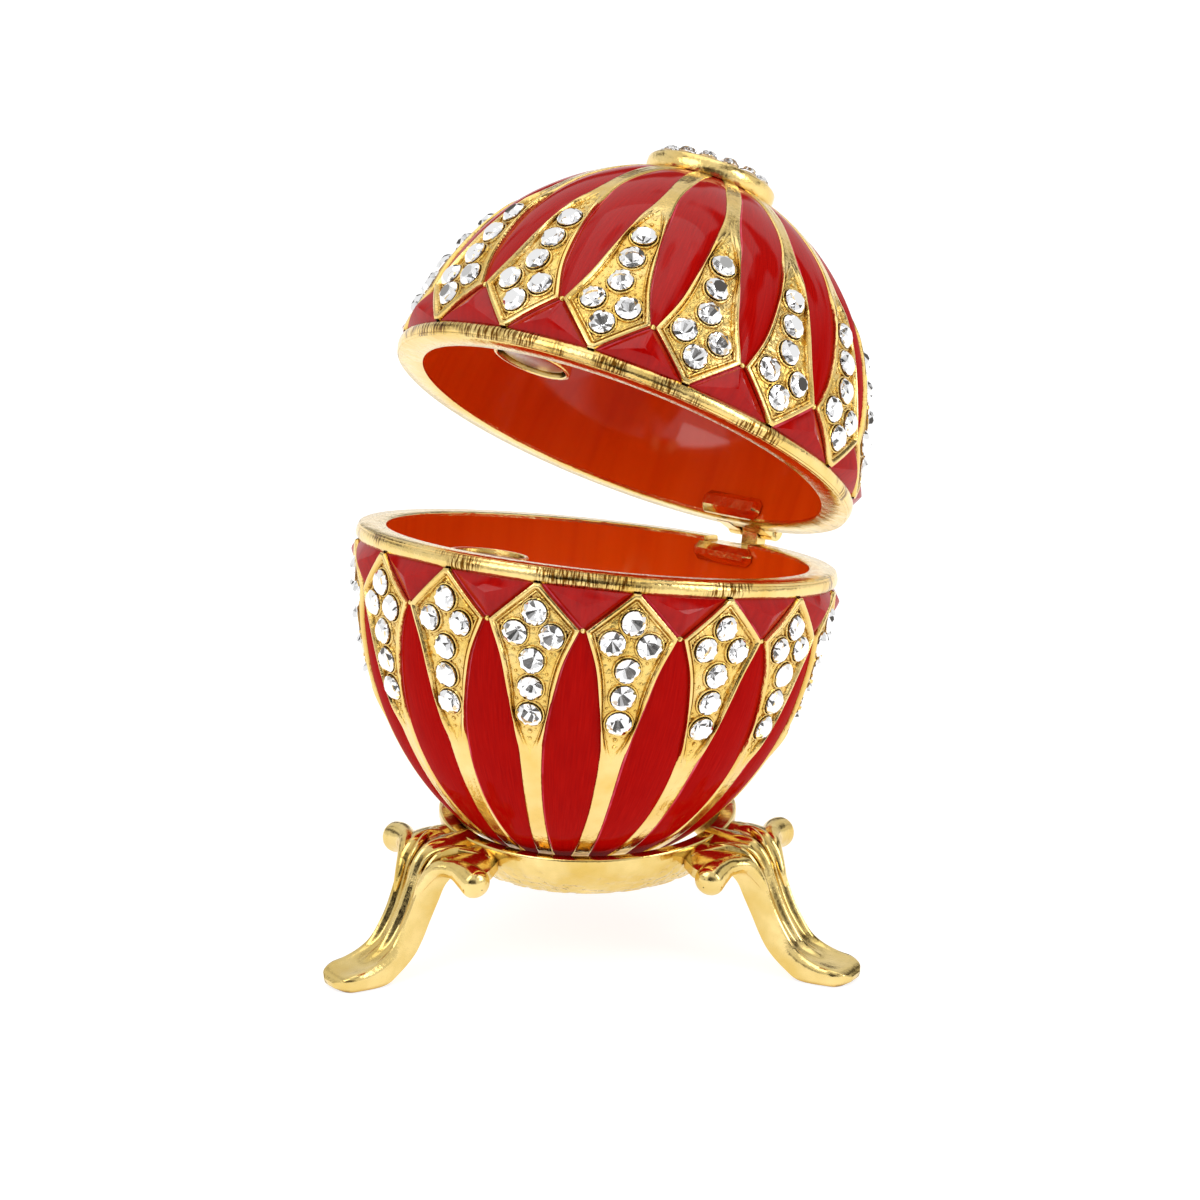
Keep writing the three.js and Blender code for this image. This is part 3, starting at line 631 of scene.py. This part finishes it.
    def stones(self, piece):
        for k in range(SECTORS):
            for side, depth in STONES:
                brilliant(piece, self.spot(FIRST_KITE + k * STEP, side, depth), STONE_RADIUS)


CRYSTAL, FOIL, SHADE, AMBER = range(4)
TABLE_CORNERS = 8
GIRDLE_CORNERS = 2 * TABLE_CORNERS
# the numbers at which the rings of a stone's corners start, after the table's
STAR = TABLE_CORNERS
GIRDLE = STAR + TABLE_CORNERS
FOOT = GIRDLE + GIRDLE_CORNERS
TIP = FOOT + GIRDLE_CORNERS
SOLE = TIP + 1


def facet(piece, points, mark):
    piece.add(points, [list(range(len(points)))], mark)


def stone_corners(radius):
    turn = np.arange(GIRDLE_CORNERS) * math.tau / GIRDLE_CORNERS
    rings = [(*TABLE_CUT, turn[::2]), (*STAR_CUT, turn[1::2]), (1, GIRDLE_HEIGHT, turn), (1, 0, turn),
             (0, -PAVILION_DEPTH, turn[:1]), (*SOLE_CUT, turn)]
    corners = []
    for share, height, angles in rings:
        r, z = share * radius, STONE_FOOT + height
        corners += [(r * math.cos(a), r * math.sin(a), z) for a in angles]
    return np.array(corners)


def brilliant(piece, place, radius, dark=DARK_SHARE):
    """A round stone: table, star, kite and girdle facets, over a foiled back with some dark facets of painted
    reflection
    """
    for axis_name in "XY":
        place = place @ Matrix.Rotation(rng.uniform(-STONE_TILT, STONE_TILT), 4, axis_name)
    place = place @ Matrix.Rotation(rng.uniform(0, math.tau), 4, "Z")
    points = moved(stone_corners(radius), place)
    faces = [list(range(TABLE_CORNERS))]
    cone = []
    for k in range(TABLE_CORNERS):
        after, star = (k + 1) % TABLE_CORNERS, STAR + k
        a, b, c = (GIRDLE + (2 * k + step) % GIRDLE_CORNERS for step in range(3))
        low_a, low_b, low_c = (corner + FOOT - GIRDLE for corner in (a, b, c))
        faces += [[k, star, after], [k, a, star], [k, STAR + (k - 1) % TABLE_CORNERS, a]]
        faces += [[star, a, b], [star, b, c]]
        faces += [[a, low_a, low_b, b], [b, low_b, low_c, c]]
        cone += [[low_a, TIP, low_b], [low_b, TIP, low_c]]
    for face in faces:
        facet(piece, points[face], CRYSTAL)
    # painted reflection: some foil facets are dark, in place of the darkness a stone mirrors
    for face in cone:
        facet(piece, points[face], SHADE if rng.random() < dark else FOIL)
    for k in range(GIRDLE_CORNERS):
        after = (k + 1) % GIRDLE_CORNERS
        facet(piece, points[[FOOT + k, SOLE + k, SOLE + after, FOOT + after]], AMBER)


# ---- hinge, catch and button ----

def hinge_block(piece, inner, outer, width, side, low, high, cut=BLOCK_CUT):
    place = outward(HINGE_AZIMUTH, 0, side)
    piece.hull(box_points((inner, -width / 2, low), (outer, width / 2, high), cut), place, GOLD)


def rod(piece, half, radius, bevel, bore, sides, side, z):
    """A round bar along the hinge's axis, with bevelled ends and room for its bore"""
    place = outward(HINGE_AZIMUTH, PIN_REACH, side, z) @ Matrix.Rotation(math.pi / 2, 4, "X")
    profile = [(bore, -half), (radius - bevel, -half), (radius, -half + bevel), (radius, half - bevel),
               (radius - bevel, half), (bore, half)]
    piece.lathe(profile, sides, place, GOLD)


def barrel(piece, width, side, z):
    rod(piece, width / 2, BARREL_RADIUS, BARREL_BEVEL, PIN_RADIUS, 32, side, z)


def boss(piece, low, high):
    """The block inside the wall that stiffens the rim at the hinge"""
    hinge_block(piece, RIM_RADIUS - BOSS_REACH, HINGE_ROOT, BOSS_WIDTH, 0, low, high, BOSS_CUT)


def base_hinge(piece):
    boss(piece, -BOSS_DEPTH, -NOTCH_DEPTH + BOSS_LAP)
    hinge_block(piece, HINGE_ROOT, POST_OUTER, KNUCKLE_WIDTH, 0, -BOSS_DEPTH, -NOTCH_DEPTH)
    hinge_block(piece, POST_INNER, POST_OUTER, KNUCKLE_WIDTH, 0, -POST_FOOT, PIN_HEIGHT, SMALL_CUT)
    barrel(piece, KNUCKLE_WIDTH, 0, PIN_HEIGHT)


def lid_hinge(piece):
    boss(piece, RIM_STEP, BOSS_DEPTH)
    z = PIN_HEIGHT - RIM_GAP
    for side in (-EAR_OFFSET, EAR_OFFSET):
        hinge_block(piece, HINGE_ROOT, EAR_OUTER, EAR_WIDTH, side, z - EAR_HALF, z + EAR_HALF, SMALL_CUT)
        barrel(piece, EAR_WIDTH, side, z)


def magnet(piece, up):
    top = CUP_SINK + MAGNET_SINK - MAGNET_GAP / 2
    foot = top + MAGNET_THICKNESS
    place = outward(CATCH_AZIMUTH, CUP_REACH) @ Matrix.Diagonal((1, 1, up, 1))
    profile = [(0, top), (MAGNET_RADIUS - 0.2, top), (MAGNET_RADIUS - 0.06, top + 0.06),
               (MAGNET_RADIUS, top + 0.2), (MAGNET_RADIUS, foot), (0, foot)]
    piece.lathe(profile, 64, place, flip=up < 0)


def button(piece, stones):
    """The round button on the lid, with its stones in rings and a bead between two of them"""
    wall = [(BUTTON_RADIUS - inside, height) for inside, height in BUTTON_WALL]
    piece.lathe(BUTTON_UNDERSIDE + wall + [(0, BUTTON_FIELD)], 96)
    outside, size, rise = BUTTON_BEAD
    for count, reach in BUTTON_RINGS:
        for k in range(count):
            turn = math.tau * k / count
            place = Matrix.Translation((reach * math.cos(turn), reach * math.sin(turn), BUTTON_SEAT))
            piece.lathe(around_stone(BUTTON_COLLAR, BUTTON_STONE), 16, place)
            brilliant(stones, place, BUTTON_STONE, BUTTON_DARK_SHARE)
            if reach:
                between = outward(deg(turn) + 90 + 180 / count, reach + outside, 0, BUTTON_FIELD)
                piece.lathe(dome(size, rise), BEAD_SIDES, between)


# ---- stand ----

def stand_ring(piece):
    """The ring, its skirt hammered with small round dents"""
    section = through(RING_SECTION + RING_SECTION[:1], 90)
    turn = np.linspace(0, math.tau, RING_SIDES, endpoint=False)
    edge = np.gradient(section, axis=0)
    normal = np.stack([-edge[:, 1], edge[:, 0]], -1)
    normal /= np.maximum(np.linalg.norm(normal, axis=1, keepdims=True), 1e-9)
    length = np.concatenate([[0], np.cumsum(np.hypot(*np.diff(section, axis=0).T))])
    skirt = (section[:, 0] > SKIRT_INSIDE) & (section[:, 1] < SKIRT_TOP) & (normal[:, 0] > 0)
    low, high = length[skirt][[0, -1]]
    dents = np.zeros((len(section), RING_SIDES))
    for _ in range(DENTS):
        at = rng.uniform(low + 0.1, high - 0.1)
        angle = rng.uniform(0, math.tau)
        size = rng.uniform(*DENT_SIZE)
        gap = np.abs((turn - angle + math.pi) % math.tau - math.pi) * SKIRT_RADIUS
        away = np.hypot(length[:, None] - at, gap[None]) / size
        dents = np.maximum(dents, DENT_DEPTH * np.clip(1 - away ** 2, 0, 1) * skirt[:, None])
    r = section[:, :1] - normal[:, :1] * dents
    z = section[:, 1:] - normal[:, 1:] * dents
    points = np.stack([r * np.cos(turn), r * np.sin(turn), z], -1)
    first, last = np.flatnonzero(skirt)[[0, -1]]
    for rows, mark in ((slice(first + 1), 0), (slice(first, last + 1), 1), (slice(last, None), 0)):
        piece.grid(points[rows], mark, around=True)


def strap_section():
    """Across a strap: side, share of its thickness, share of its ribs' height"""
    top = np.linspace(1, -1, 37)
    ribs = np.clip(np.cos(np.abs(top) * math.tau / RIB_PITCH), RIB_VALLEY, 1)
    full = np.clip((1 - np.abs(top)) / STRAP_ROUND, 0, 1) ** 0.5
    rows = [(x, STRAP_EDGE + (1 - STRAP_EDGE) * f, r * f) for x, r, f in zip(top, ribs, full)]
    right = [(side, share, 0) for side, share in STRAP_SIDE]
    left = [(-side, share, 0) for side, share in STRAP_SIDE[::-1]]
    return [(0, 0, 0)] + right + rows + left


def leg(piece, place):
    stations = through(LEG, 70)
    section = strap_section()
    points = []
    for a, b, c, d, half, rib in stations:
        outer, inner = np.array([a, 0, b]), np.array([c, 0, d])
        lift = (outer - inner) / np.linalg.norm(outer - inner)
        hollow = SPOON_DEPTH * step_up(*SPOON_START, a) * (1 - step_up(*SPOON_END, a))
        row = []
        for across, share, part in section:
            dish = hollow * max(0, 1 - (across / SPOON_WIDTH) ** 2) * (share > UPPER_FACE)
            point = inner + (outer - inner) * share + lift * (rib * part - dish)
            point[1] = across * half
            point[2] = max(point[2], 0)
            row.append(point)
        points.append(row)
    points = np.array(points)
    piece.grid(moved(points, place), around=True, flip=True)
    for row, flip in ((points[0], False), (points[-1], True)):
        middle = np.broadcast_to(row.mean(0), row.shape)
        piece.grid(moved(np.stack([row, middle]), place), around=True, flip=flip)


def fan(piece, place):
    """The web between the strap and the ring, thick in the middle and thin at its sides"""
    rows = []
    share = np.linspace(-1, 1, 61)
    flutes = FAN_FLUTE * np.abs(np.cos(share * math.pi * FAN_FLUTES)) ** 0.8
    for reach, half, top, thick in through(FAN, 26):
        droop = FAN_DROOP * half * share ** 2
        rib = flutes * (1 - step_up(*FLUTE_FADE, reach))
        depth = thick * (1 - FAN_THINNING * share ** 2 * step_up(*THINNING_START, reach))
        upper = np.broadcast_arrays(reach, share * half, top + rib - droop)
        lower = np.broadcast_arrays(reach, share * half * 0.97, top - depth - droop * 0.9)
        rows.append(np.concatenate([np.stack(upper, -1), np.stack(lower, -1)[::-1]]))
    piece.grid(moved(np.array(rows), place), around=True)


def tube(piece, path, radii, place, sides):
    """A round bar along a path. Its open ends are hidden in what it meets, or as good as closed."""
    along = np.gradient(path, axis=0)
    along /= np.linalg.norm(along, axis=1, keepdims=True)
    first = np.cross(along, (0, 0, 1))
    first /= np.linalg.norm(first, axis=1, keepdims=True)
    second = np.cross(first, along)
    turn = np.linspace(0, math.tau, sides, endpoint=False)
    ring = first[:, None] * np.cos(turn)[:, None] + second[:, None] * np.sin(turn)[:, None]
    piece.grid(moved(path[:, None] + radii[:, None, None] * ring, place), around=True)


def arms(piece, place):
    """An arm that grows out of the strap's edge to each side and ends in a round scroll"""
    for side in (-1, 1):
        mirror = (1, side, 1, 1)
        rows = through(np.multiply(ARM, mirror), 60)
        end = ARM[-1][1]
        closing = np.clip((np.abs(rows[:, 1]) - end + ARM_ROUND) / ARM_ROUND, 0, 0.999)
        tube(piece, rows[:, :3], rows[:, 3] * np.sqrt(1 - closing ** 2), place, 28)
        # a thin rib over the fan, from the strap to the ring
        rows = through(np.multiply(FAN_RIB, mirror), 40)
        tube(piece, rows[:, :3], rows[:, 3], place, 14)


def stand():
    piece = Piece()
    stand_ring(piece)
    for azimuth in LEG_AZIMUTHS:
        place = outward(azimuth)
        leg(piece, place)
        fan(piece, place)
        arms(piece, place)
    return piece


# ---- materials ----

WHITE = (1, 1, 1)
GOLD_TONE = (0.88, 0.64, 0.235)
PALE_GOLD = (0.94, 0.72, 0.31)
KITE_TONE = (0.9, 0.66, 0.21)
STAND_TONE = (0.79, 0.59, 0.215)
# painted shade: hollows and creases are darkened to a browner gold, by how open a place is
PAINTED_SHADE_TONES = [(0.25, (0.2, 0.1, 0.03)), (0.6, (0.75, 0.62, 0.42)), (0.9, WHITE)]
FILE_MARKS = [(0.44, (0.2, 0.11, 0.03)), (0.56, WHITE)]
REDS = [(0.32, 0.001, 0.001), (0.38, 0.002, 0.001), (0.44, 0.004, 0.002)]
# pink tones for the painted reflection along one edge of each petal and pillow
PINKS = [(0.4, 0.003, 0.004), (0.62, 0.04, 0.07), (0.8, 0.14, 0.2)]
ORANGES = [(0.84, 0.085, 0.002), (0.93, 0.115, 0.003), (1, 0.14, 0.006)]


class Tree:
    """The nodes of a material or of the world"""

    def __init__(self, owner):
        owner.use_nodes = True
        self.nodes = owner.node_tree.nodes
        self.join = owner.node_tree.links.new

    def node(self, kind, **inputs):
        node = self.nodes.new(kind)
        for key, value in inputs.items():
            node.inputs[key].default_value = value
        return node

    def ramp(self, source, stops):
        ramp = self.node("ShaderNodeValToRGB")
        ramp.color_ramp.elements[0].position = stops[0][0]
        ramp.color_ramp.elements[1].position = stops[-1][0]
        for place, _ in stops[1:-1]:
            ramp.color_ramp.elements.new(place)
        for element, (_, colour) in zip(ramp.color_ramp.elements, stops):
            element.color = (*colour, 1)
        self.join(source, ramp.inputs["Fac"])
        return ramp.outputs["Color"]

    def times(self, first, second, share=None):
        both = self.node("ShaderNodeMix", Factor=1)
        both.data_type = "RGBA"
        both.blend_type = "MULTIPLY"
        if share:
            self.join(share, both.inputs["Factor"])
        self.join(first, both.inputs[6])
        self.join(second, both.inputs[7])
        return both.outputs[2]


class Look(Tree):
    """A material and what feeds its shader"""

    def __init__(self, name, colour, metallic, roughness):
        self.material = bpy.data.materials.new(name)
        super().__init__(self.material)
        self.shader = self.nodes["Principled BSDF"]
        self.put("Base Color", (*colour, 1))
        self.put("Metallic", metallic)
        self.put("Roughness", roughness)

    def put(self, socket, value):
        self.shader.inputs[socket].default_value = value

    def noise(self, scale, detail, stretch=(1, 1, 1), grain=False):
        """Noise over the object, or over its grain coordinates, in mm"""
        place = self.node("ShaderNodeTexCoord")
        size = 1 if grain else 1 / MM
        spread = self.node("ShaderNodeMapping", Scale=[size * s for s in stretch])
        self.join(place.outputs["UV" if grain else "Object"], spread.inputs["Vector"])
        cloud = self.node("ShaderNodeTexNoise", Scale=scale, Detail=detail)
        self.join(spread.outputs["Vector"], cloud.inputs["Vector"])
        return cloud.outputs["Fac"]

    def span(self, source, low, high, socket=None, start=0.3, end=0.7):
        """A source from start to end, spread from low to high"""
        ends = {"From Min": start, "From Max": end, "To Min": low, "To Max": high}
        spread = self.node("ShaderNodeMapRange", **ends)
        self.join(source, spread.inputs["Value"])
        if socket:
            self.join(spread.outputs["Result"], self.shader.inputs[socket])
        return spread.outputs["Result"]

    def bump(self, sources):
        """Heights in mm, each as (source, depth), added up"""
        total, *others = (self.span(source, 0, depth) for source, depth in sources)
        for height in others:
            both = self.node("ShaderNodeMath")
            self.join(total, both.inputs[0])
            self.join(height, both.inputs[1])
            total = both.outputs["Value"]
        bump = self.node("ShaderNodeBump", Strength=1.0, Distance=MM)
        self.join(total, bump.inputs["Height"])
        self.join(bump.outputs["Normal"], self.shader.inputs["Normal"])


def gold(name, rough, dents=0.012, tone=GOLD_TONE, grain=3.2, hollow=0.5, filed=False, beaten=0):
    look = Look(name, tone, 1, rough)
    broad = look.noise(0.25, 3)
    fine = look.noise(grain, 4)
    look.span(fine, rough * 0.6, rough * 1.7, "Roughness")
    deep = (tone[0] * 0.93, tone[1] * 0.86, tone[2] * 0.62)
    colour = look.ramp(broad, [(0.3, deep), (0.5, tone), (0.72, PALE_GOLD)])
    # painted shade: ambient occlusion darkens and browns the gold in its hollows; hollow is how far it
    # reaches
    painted_shade = look.node("ShaderNodeAmbientOcclusion", Distance=hollow * MM)
    painted_shade.samples = 6
    colour = look.times(colour, look.ramp(painted_shade.outputs["AO"], PAINTED_SHADE_TONES))
    if filed:
        # fine brown file marks across the band, in patches
        marks = look.ramp(look.noise(1, 3, (5, 0.7, 1), True), FILE_MARKS)
        patches = look.span(look.noise(0.2, 2), -3, 3.2)
        colour = look.times(colour, marks, patches)
    look.join(colour, look.shader.inputs["Base Color"])
    heights = [(look.noise(0.55, 2), dents * 3), (fine, dents)]
    if beaten:
        cells = look.node("ShaderNodeTexVoronoi", Scale=1.7 / MM)
        look.join(look.node("ShaderNodeTexCoord").outputs["Object"], cells.inputs["Vector"])
        heights.append((cells.outputs["Distance"], -beaten))
    look.bump(heights)
    return look.material


def enamel(name, tones, stretch, rough=0.34, coat=(0.08, 0.6)):
    """Brushed translucent enamel under a glaze with a painted sheen: its coat is stronger where the surface
    faces up
    """
    look = Look(name, tones[1], 0, rough)
    brush = look.noise(1, 3, stretch, True)
    broad = look.noise(0.16, 2)
    colour = look.ramp(brush, [(0.28, tones[0]), (0.5, tones[1]), (0.75, tones[2])])
    look.join(colour, look.shader.inputs["Base Color"])
    look.span(brush, rough * 0.8, rough * 1.3, "Roughness")
    look.put("Specular IOR Level", 0)
    # painted sheen: the coat weight follows how far the surface faces up, standing in for light from above
    sheen_facing = look.node("ShaderNodeNewGeometry")
    parts = look.node("ShaderNodeSeparateXYZ")
    look.join(sheen_facing.outputs["Normal"], parts.inputs["Vector"])
    look.span(parts.outputs["Z"], *coat, "Coat Weight", 0.45, 0.8)
    look.put("Coat Roughness", 0.07)
    look.put("Coat IOR", 1.45)
    look.bump([(broad, 0.05), (brush, 0.003)])
    return look.material


def crystal(name, bend):
    look = Look(name, WHITE, 0, 0)
    look.put("Transmission Weight", 1)
    look.put("IOR", bend)
    return look.material


def foil(name, tone, rough):
    look = Look(name, tone, 1, rough)
    look.span(look.noise(2.0, 2), rough * 0.5, rough * 2, "Roughness")
    return look.material


def steel():
    look = Look("magnet_steel", (0.66, 0.66, 0.65), 1, 0.38)
    fine = look.noise(4.0, 4)
    look.span(fine, 0.28, 0.5, "Roughness")
    look.bump([(fine, 0.008)])
    return look.material


def floor_look():
    look = Look("floor", (0.4, 0.4, 0.4), 0, 0.7)
    look.put("Specular IOR Level", 0)
    look.put("Emission Color", (*WHITE, 1))
    look.put("Emission Strength", 0.8)
    look.span(look.noise(0.01, 2), 0.6, 0.8, "Roughness")
    return look.material


# ---- frame and places ----

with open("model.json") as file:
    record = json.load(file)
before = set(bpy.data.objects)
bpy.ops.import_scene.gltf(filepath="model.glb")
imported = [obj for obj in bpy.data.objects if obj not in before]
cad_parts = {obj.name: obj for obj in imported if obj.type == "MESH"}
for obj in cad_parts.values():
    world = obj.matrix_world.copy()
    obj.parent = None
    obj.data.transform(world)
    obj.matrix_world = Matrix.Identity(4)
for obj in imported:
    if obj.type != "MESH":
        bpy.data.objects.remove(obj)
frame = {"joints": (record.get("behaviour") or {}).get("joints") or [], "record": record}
scene = bpy.context.scene
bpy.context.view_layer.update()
hinge = frame["joints"][0]
pivot = Vector(hinge["pos_m"]) / MM
feet = [Vector(mount["pos_m"]) / MM for mount in frame["record"]["mounts"]]
centre = sum(feet, Vector()) / len(feet)

axis = Vector(radial(LEAN_AZIMUTH, math.sin(rad(LEAN)), math.cos(rad(LEAN))))
front = (Vector((0, -1, 0)) + axis * axis.y).normalized()
lean = Matrix((axis.cross(front), -front, axis)).transposed()
hinge_point = Vector(radial(HINGE_AZIMUTH, PIN_REACH, PIN_HEIGHT))
egg_place = Matrix.Translation(pivot - lean @ hinge_point) @ lean.to_4x4()
opened = Matrix.Rotation(rad(LID_OPENING), 4, Vector(hinge["axis"]))
lid_place = (Matrix.Translation(pivot) @ opened @ Matrix.Translation(-pivot) @ egg_place
             @ Matrix.Translation((0, 0, RIM_GAP)))
button_place = lid_place @ Matrix.Translation((BUTTON_SHIFT, 0, LID_HEIGHT - BUTTON_DROP))
button_place = button_place @ Matrix.Rotation(BUTTON_TILT, 4, "Y")
stand_place = Matrix.Translation((centre.x, centre.y, 0))

# ---- the object ----

plate = gold("gold", 0.15)
cast = gold("kite_gold", 0.19, 0.06, KITE_TONE, 2.2, 0.9)
worn = gold("stand_gold", 0.15, 0.006, STAND_TONE)
hammered = gold("ring_gold", 0.16, 0.006, STAND_TONE, beaten=0.04)
red = enamel("red_enamel", REDS, (5.5, 0.3, 1))
domed = enamel("pillow_enamel", REDS, (2, 0.6, 1), 0.3, (0.5, 0.7))
# the pink edge enamel is a painted reflection
thin = enamel("pink_reflection_enamel", PINKS, (0.5, 0.35, 1))
orange = enamel("lining_enamel", ORANGES, (0.3, 0.3, 1), 0.2, (1, 1))
nickel = steel()
gems = [crystal("crystal", 1.52), foil("stone_foil", (0.94, 0.94, 0.95), 0.06),
        foil("stone_shade", (0.09, 0.085, 0.08), 0.2), foil("stone_edge", (0.62, 0.44, 0.24), 0.3)]
# the button's stones bend light less, so that they stay bright from the side
button_gems = [crystal("button_crystal", 1.22)] + gems[1:]
shell_looks = [plate, cast, red, thin, orange, gold("band_gold", 0.15, filed=True), domed]

HALVES = [("egg_base", BASE_DEPTH, -1, egg_place, "base", base_hinge),
          ("egg_lid", LID_HEIGHT, 1, lid_place, "lid", lid_hinge)]
for node, height, up, place, body, hinge_half in HALVES:
    half = Half(height, up)
    shell = half.build()
    hinge_half(shell)
    dressed = shell.make(node + "_shell", place, body, shell_looks, 38)
    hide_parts(node)
    stones = Piece()
    half.stones(stones)
    stones.make(node + "_stones", place, body, gems, 5)
    disc = Piece()
    magnet(disc, up)
    disc = disc.make(body + "_magnet_disc", place, body, [nickel], 30)
    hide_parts(body + "_magnet")

cap, stones = Piece(), Piece()
button(cap, stones)
cap = cap.make("button_body", button_place, "lid", [plate], 38)
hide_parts("top_button")
stones.make("button_stones", button_place, "lid", button_gems, 5)

pin = Piece()
rod(pin, HINGE_WIDTH / 2 + PIN_PROUD, PIN_RADIUS, PIN_BEVEL, 0, 24, 0, PIN_HEIGHT)
pin = pin.make("hinge_pin_rod", egg_place, "base", [plate], 30)
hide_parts("hinge_pin")

casting = stand().make("stand_casting", stand_place, "base", [worn, hammered], 40)
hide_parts("stand")

# ---- floor, light and camera ----

FLOOR_HALF = 3000 * MM
mesh = bpy.data.meshes.new("floor")
corners = [(x * FLOOR_HALF, y * FLOOR_HALF, 0) for x, y in ((-1, -1), (1, -1), (1, 1), (-1, 1))]
mesh.from_pydata(corners, [], [[0, 1, 2, 3]])
mesh.materials.append(floor_look())
floor = bpy.data.objects.new("floor", mesh)
scene.collection.objects.link(floor)

# name, place, what it aims at, width and height, watts
SOFTBOXES = [("key", (-260, -220, 330), (0, 0, 35), (260, 260), 0.45),
             ("fill", (300, -160, 200), (0, 0, 35), (140, 220), 0.35),
             ("top", (20, 60, 420), (0, 0, 30), (380, 380), 0.32)]


def softbox(name, place, aim, size, power):
    light = bpy.data.lights.new(name, "AREA")
    light.shape = "RECTANGLE"
    light.size, light.size_y = (side * MM for side in size)
    light.energy = power
    lamp = bpy.data.objects.new(name, light)
    lamp.location = Vector(place) * MM
    lamp.rotation_euler = (Vector(aim) - Vector(place)).to_track_quat("-Z", "Y").to_euler()
    scene.collection.objects.link(lamp)


def studio():
    """A white tent with dark gaps between its sheets and a dark opening ahead, over white paper"""
    world = bpy.data.worlds.new("studio")
    scene.world = world
    tree = Tree(world)
    tree.nodes.clear()
    where = tree.node("ShaderNodeTexCoord").outputs["Generated"]
    ahead = tree.node("ShaderNodeVectorMath")
    ahead.operation = "DOT_PRODUCT"
    ahead.inputs[1].default_value = (0, -1, 0.1)
    tree.join(where, ahead.inputs[0])
    opening = tree.ramp(ahead.outputs["Value"], [(0.87, WHITE), (0.955, (0.15, 0.14, 0.13))])
    cloud = tree.node("ShaderNodeTexNoise", Scale=2.3, Detail=1)
    tree.join(where, cloud.inputs["Vector"])
    gaps = tree.ramp(cloud.outputs["Fac"], [(0.4, (0.12, 0.11, 0.1)), (0.47, WHITE)])
    tent = tree.node("ShaderNodeBackground", Strength=0.85)
    tree.join(tree.times(opening, gaps), tent.inputs["Color"])
    # the camera sees plain white past the floor
    paper = tree.node("ShaderNodeBackground", Color=(*WHITE, 1), Strength=1)
    mix = tree.node("ShaderNodeMixShader")
    tree.join(tree.node("ShaderNodeLightPath").outputs["Is Camera Ray"], mix.inputs["Fac"])
    tree.join(tent.outputs["Background"], mix.inputs[1])
    tree.join(paper.outputs["Background"], mix.inputs[2])
    tree.join(mix.outputs["Shader"], tree.node("ShaderNodeOutputWorld").inputs["Surface"])


for lamp in SOFTBOXES:
    softbox(*lamp)
studio()
scene.view_settings.view_transform = "Standard"

# the picture is PICTURE_WIDTH wide at the aim
ELEVATION = 20.8
DISTANCE = 1602.9
PICTURE_WIDTH = 112.93
SENSOR = 36
aim = Vector((centre.x + 1.18, centre.y, 33.42))
lens = bpy.data.cameras.new("camera")
lens.sensor_width = SENSOR
lens.lens = SENSOR * DISTANCE / PICTURE_WIDTH
lens.clip_end = 100
camera = bpy.data.objects.new("camera", lens)
away = Vector((0, -math.cos(rad(ELEVATION)), math.sin(rad(ELEVATION))))
camera.location = (aim + DISTANCE * away) * MM
camera.rotation_euler = (rad(90 - ELEVATION), 0, 0)
scene.collection.objects.link(camera)
scene.camera = camera
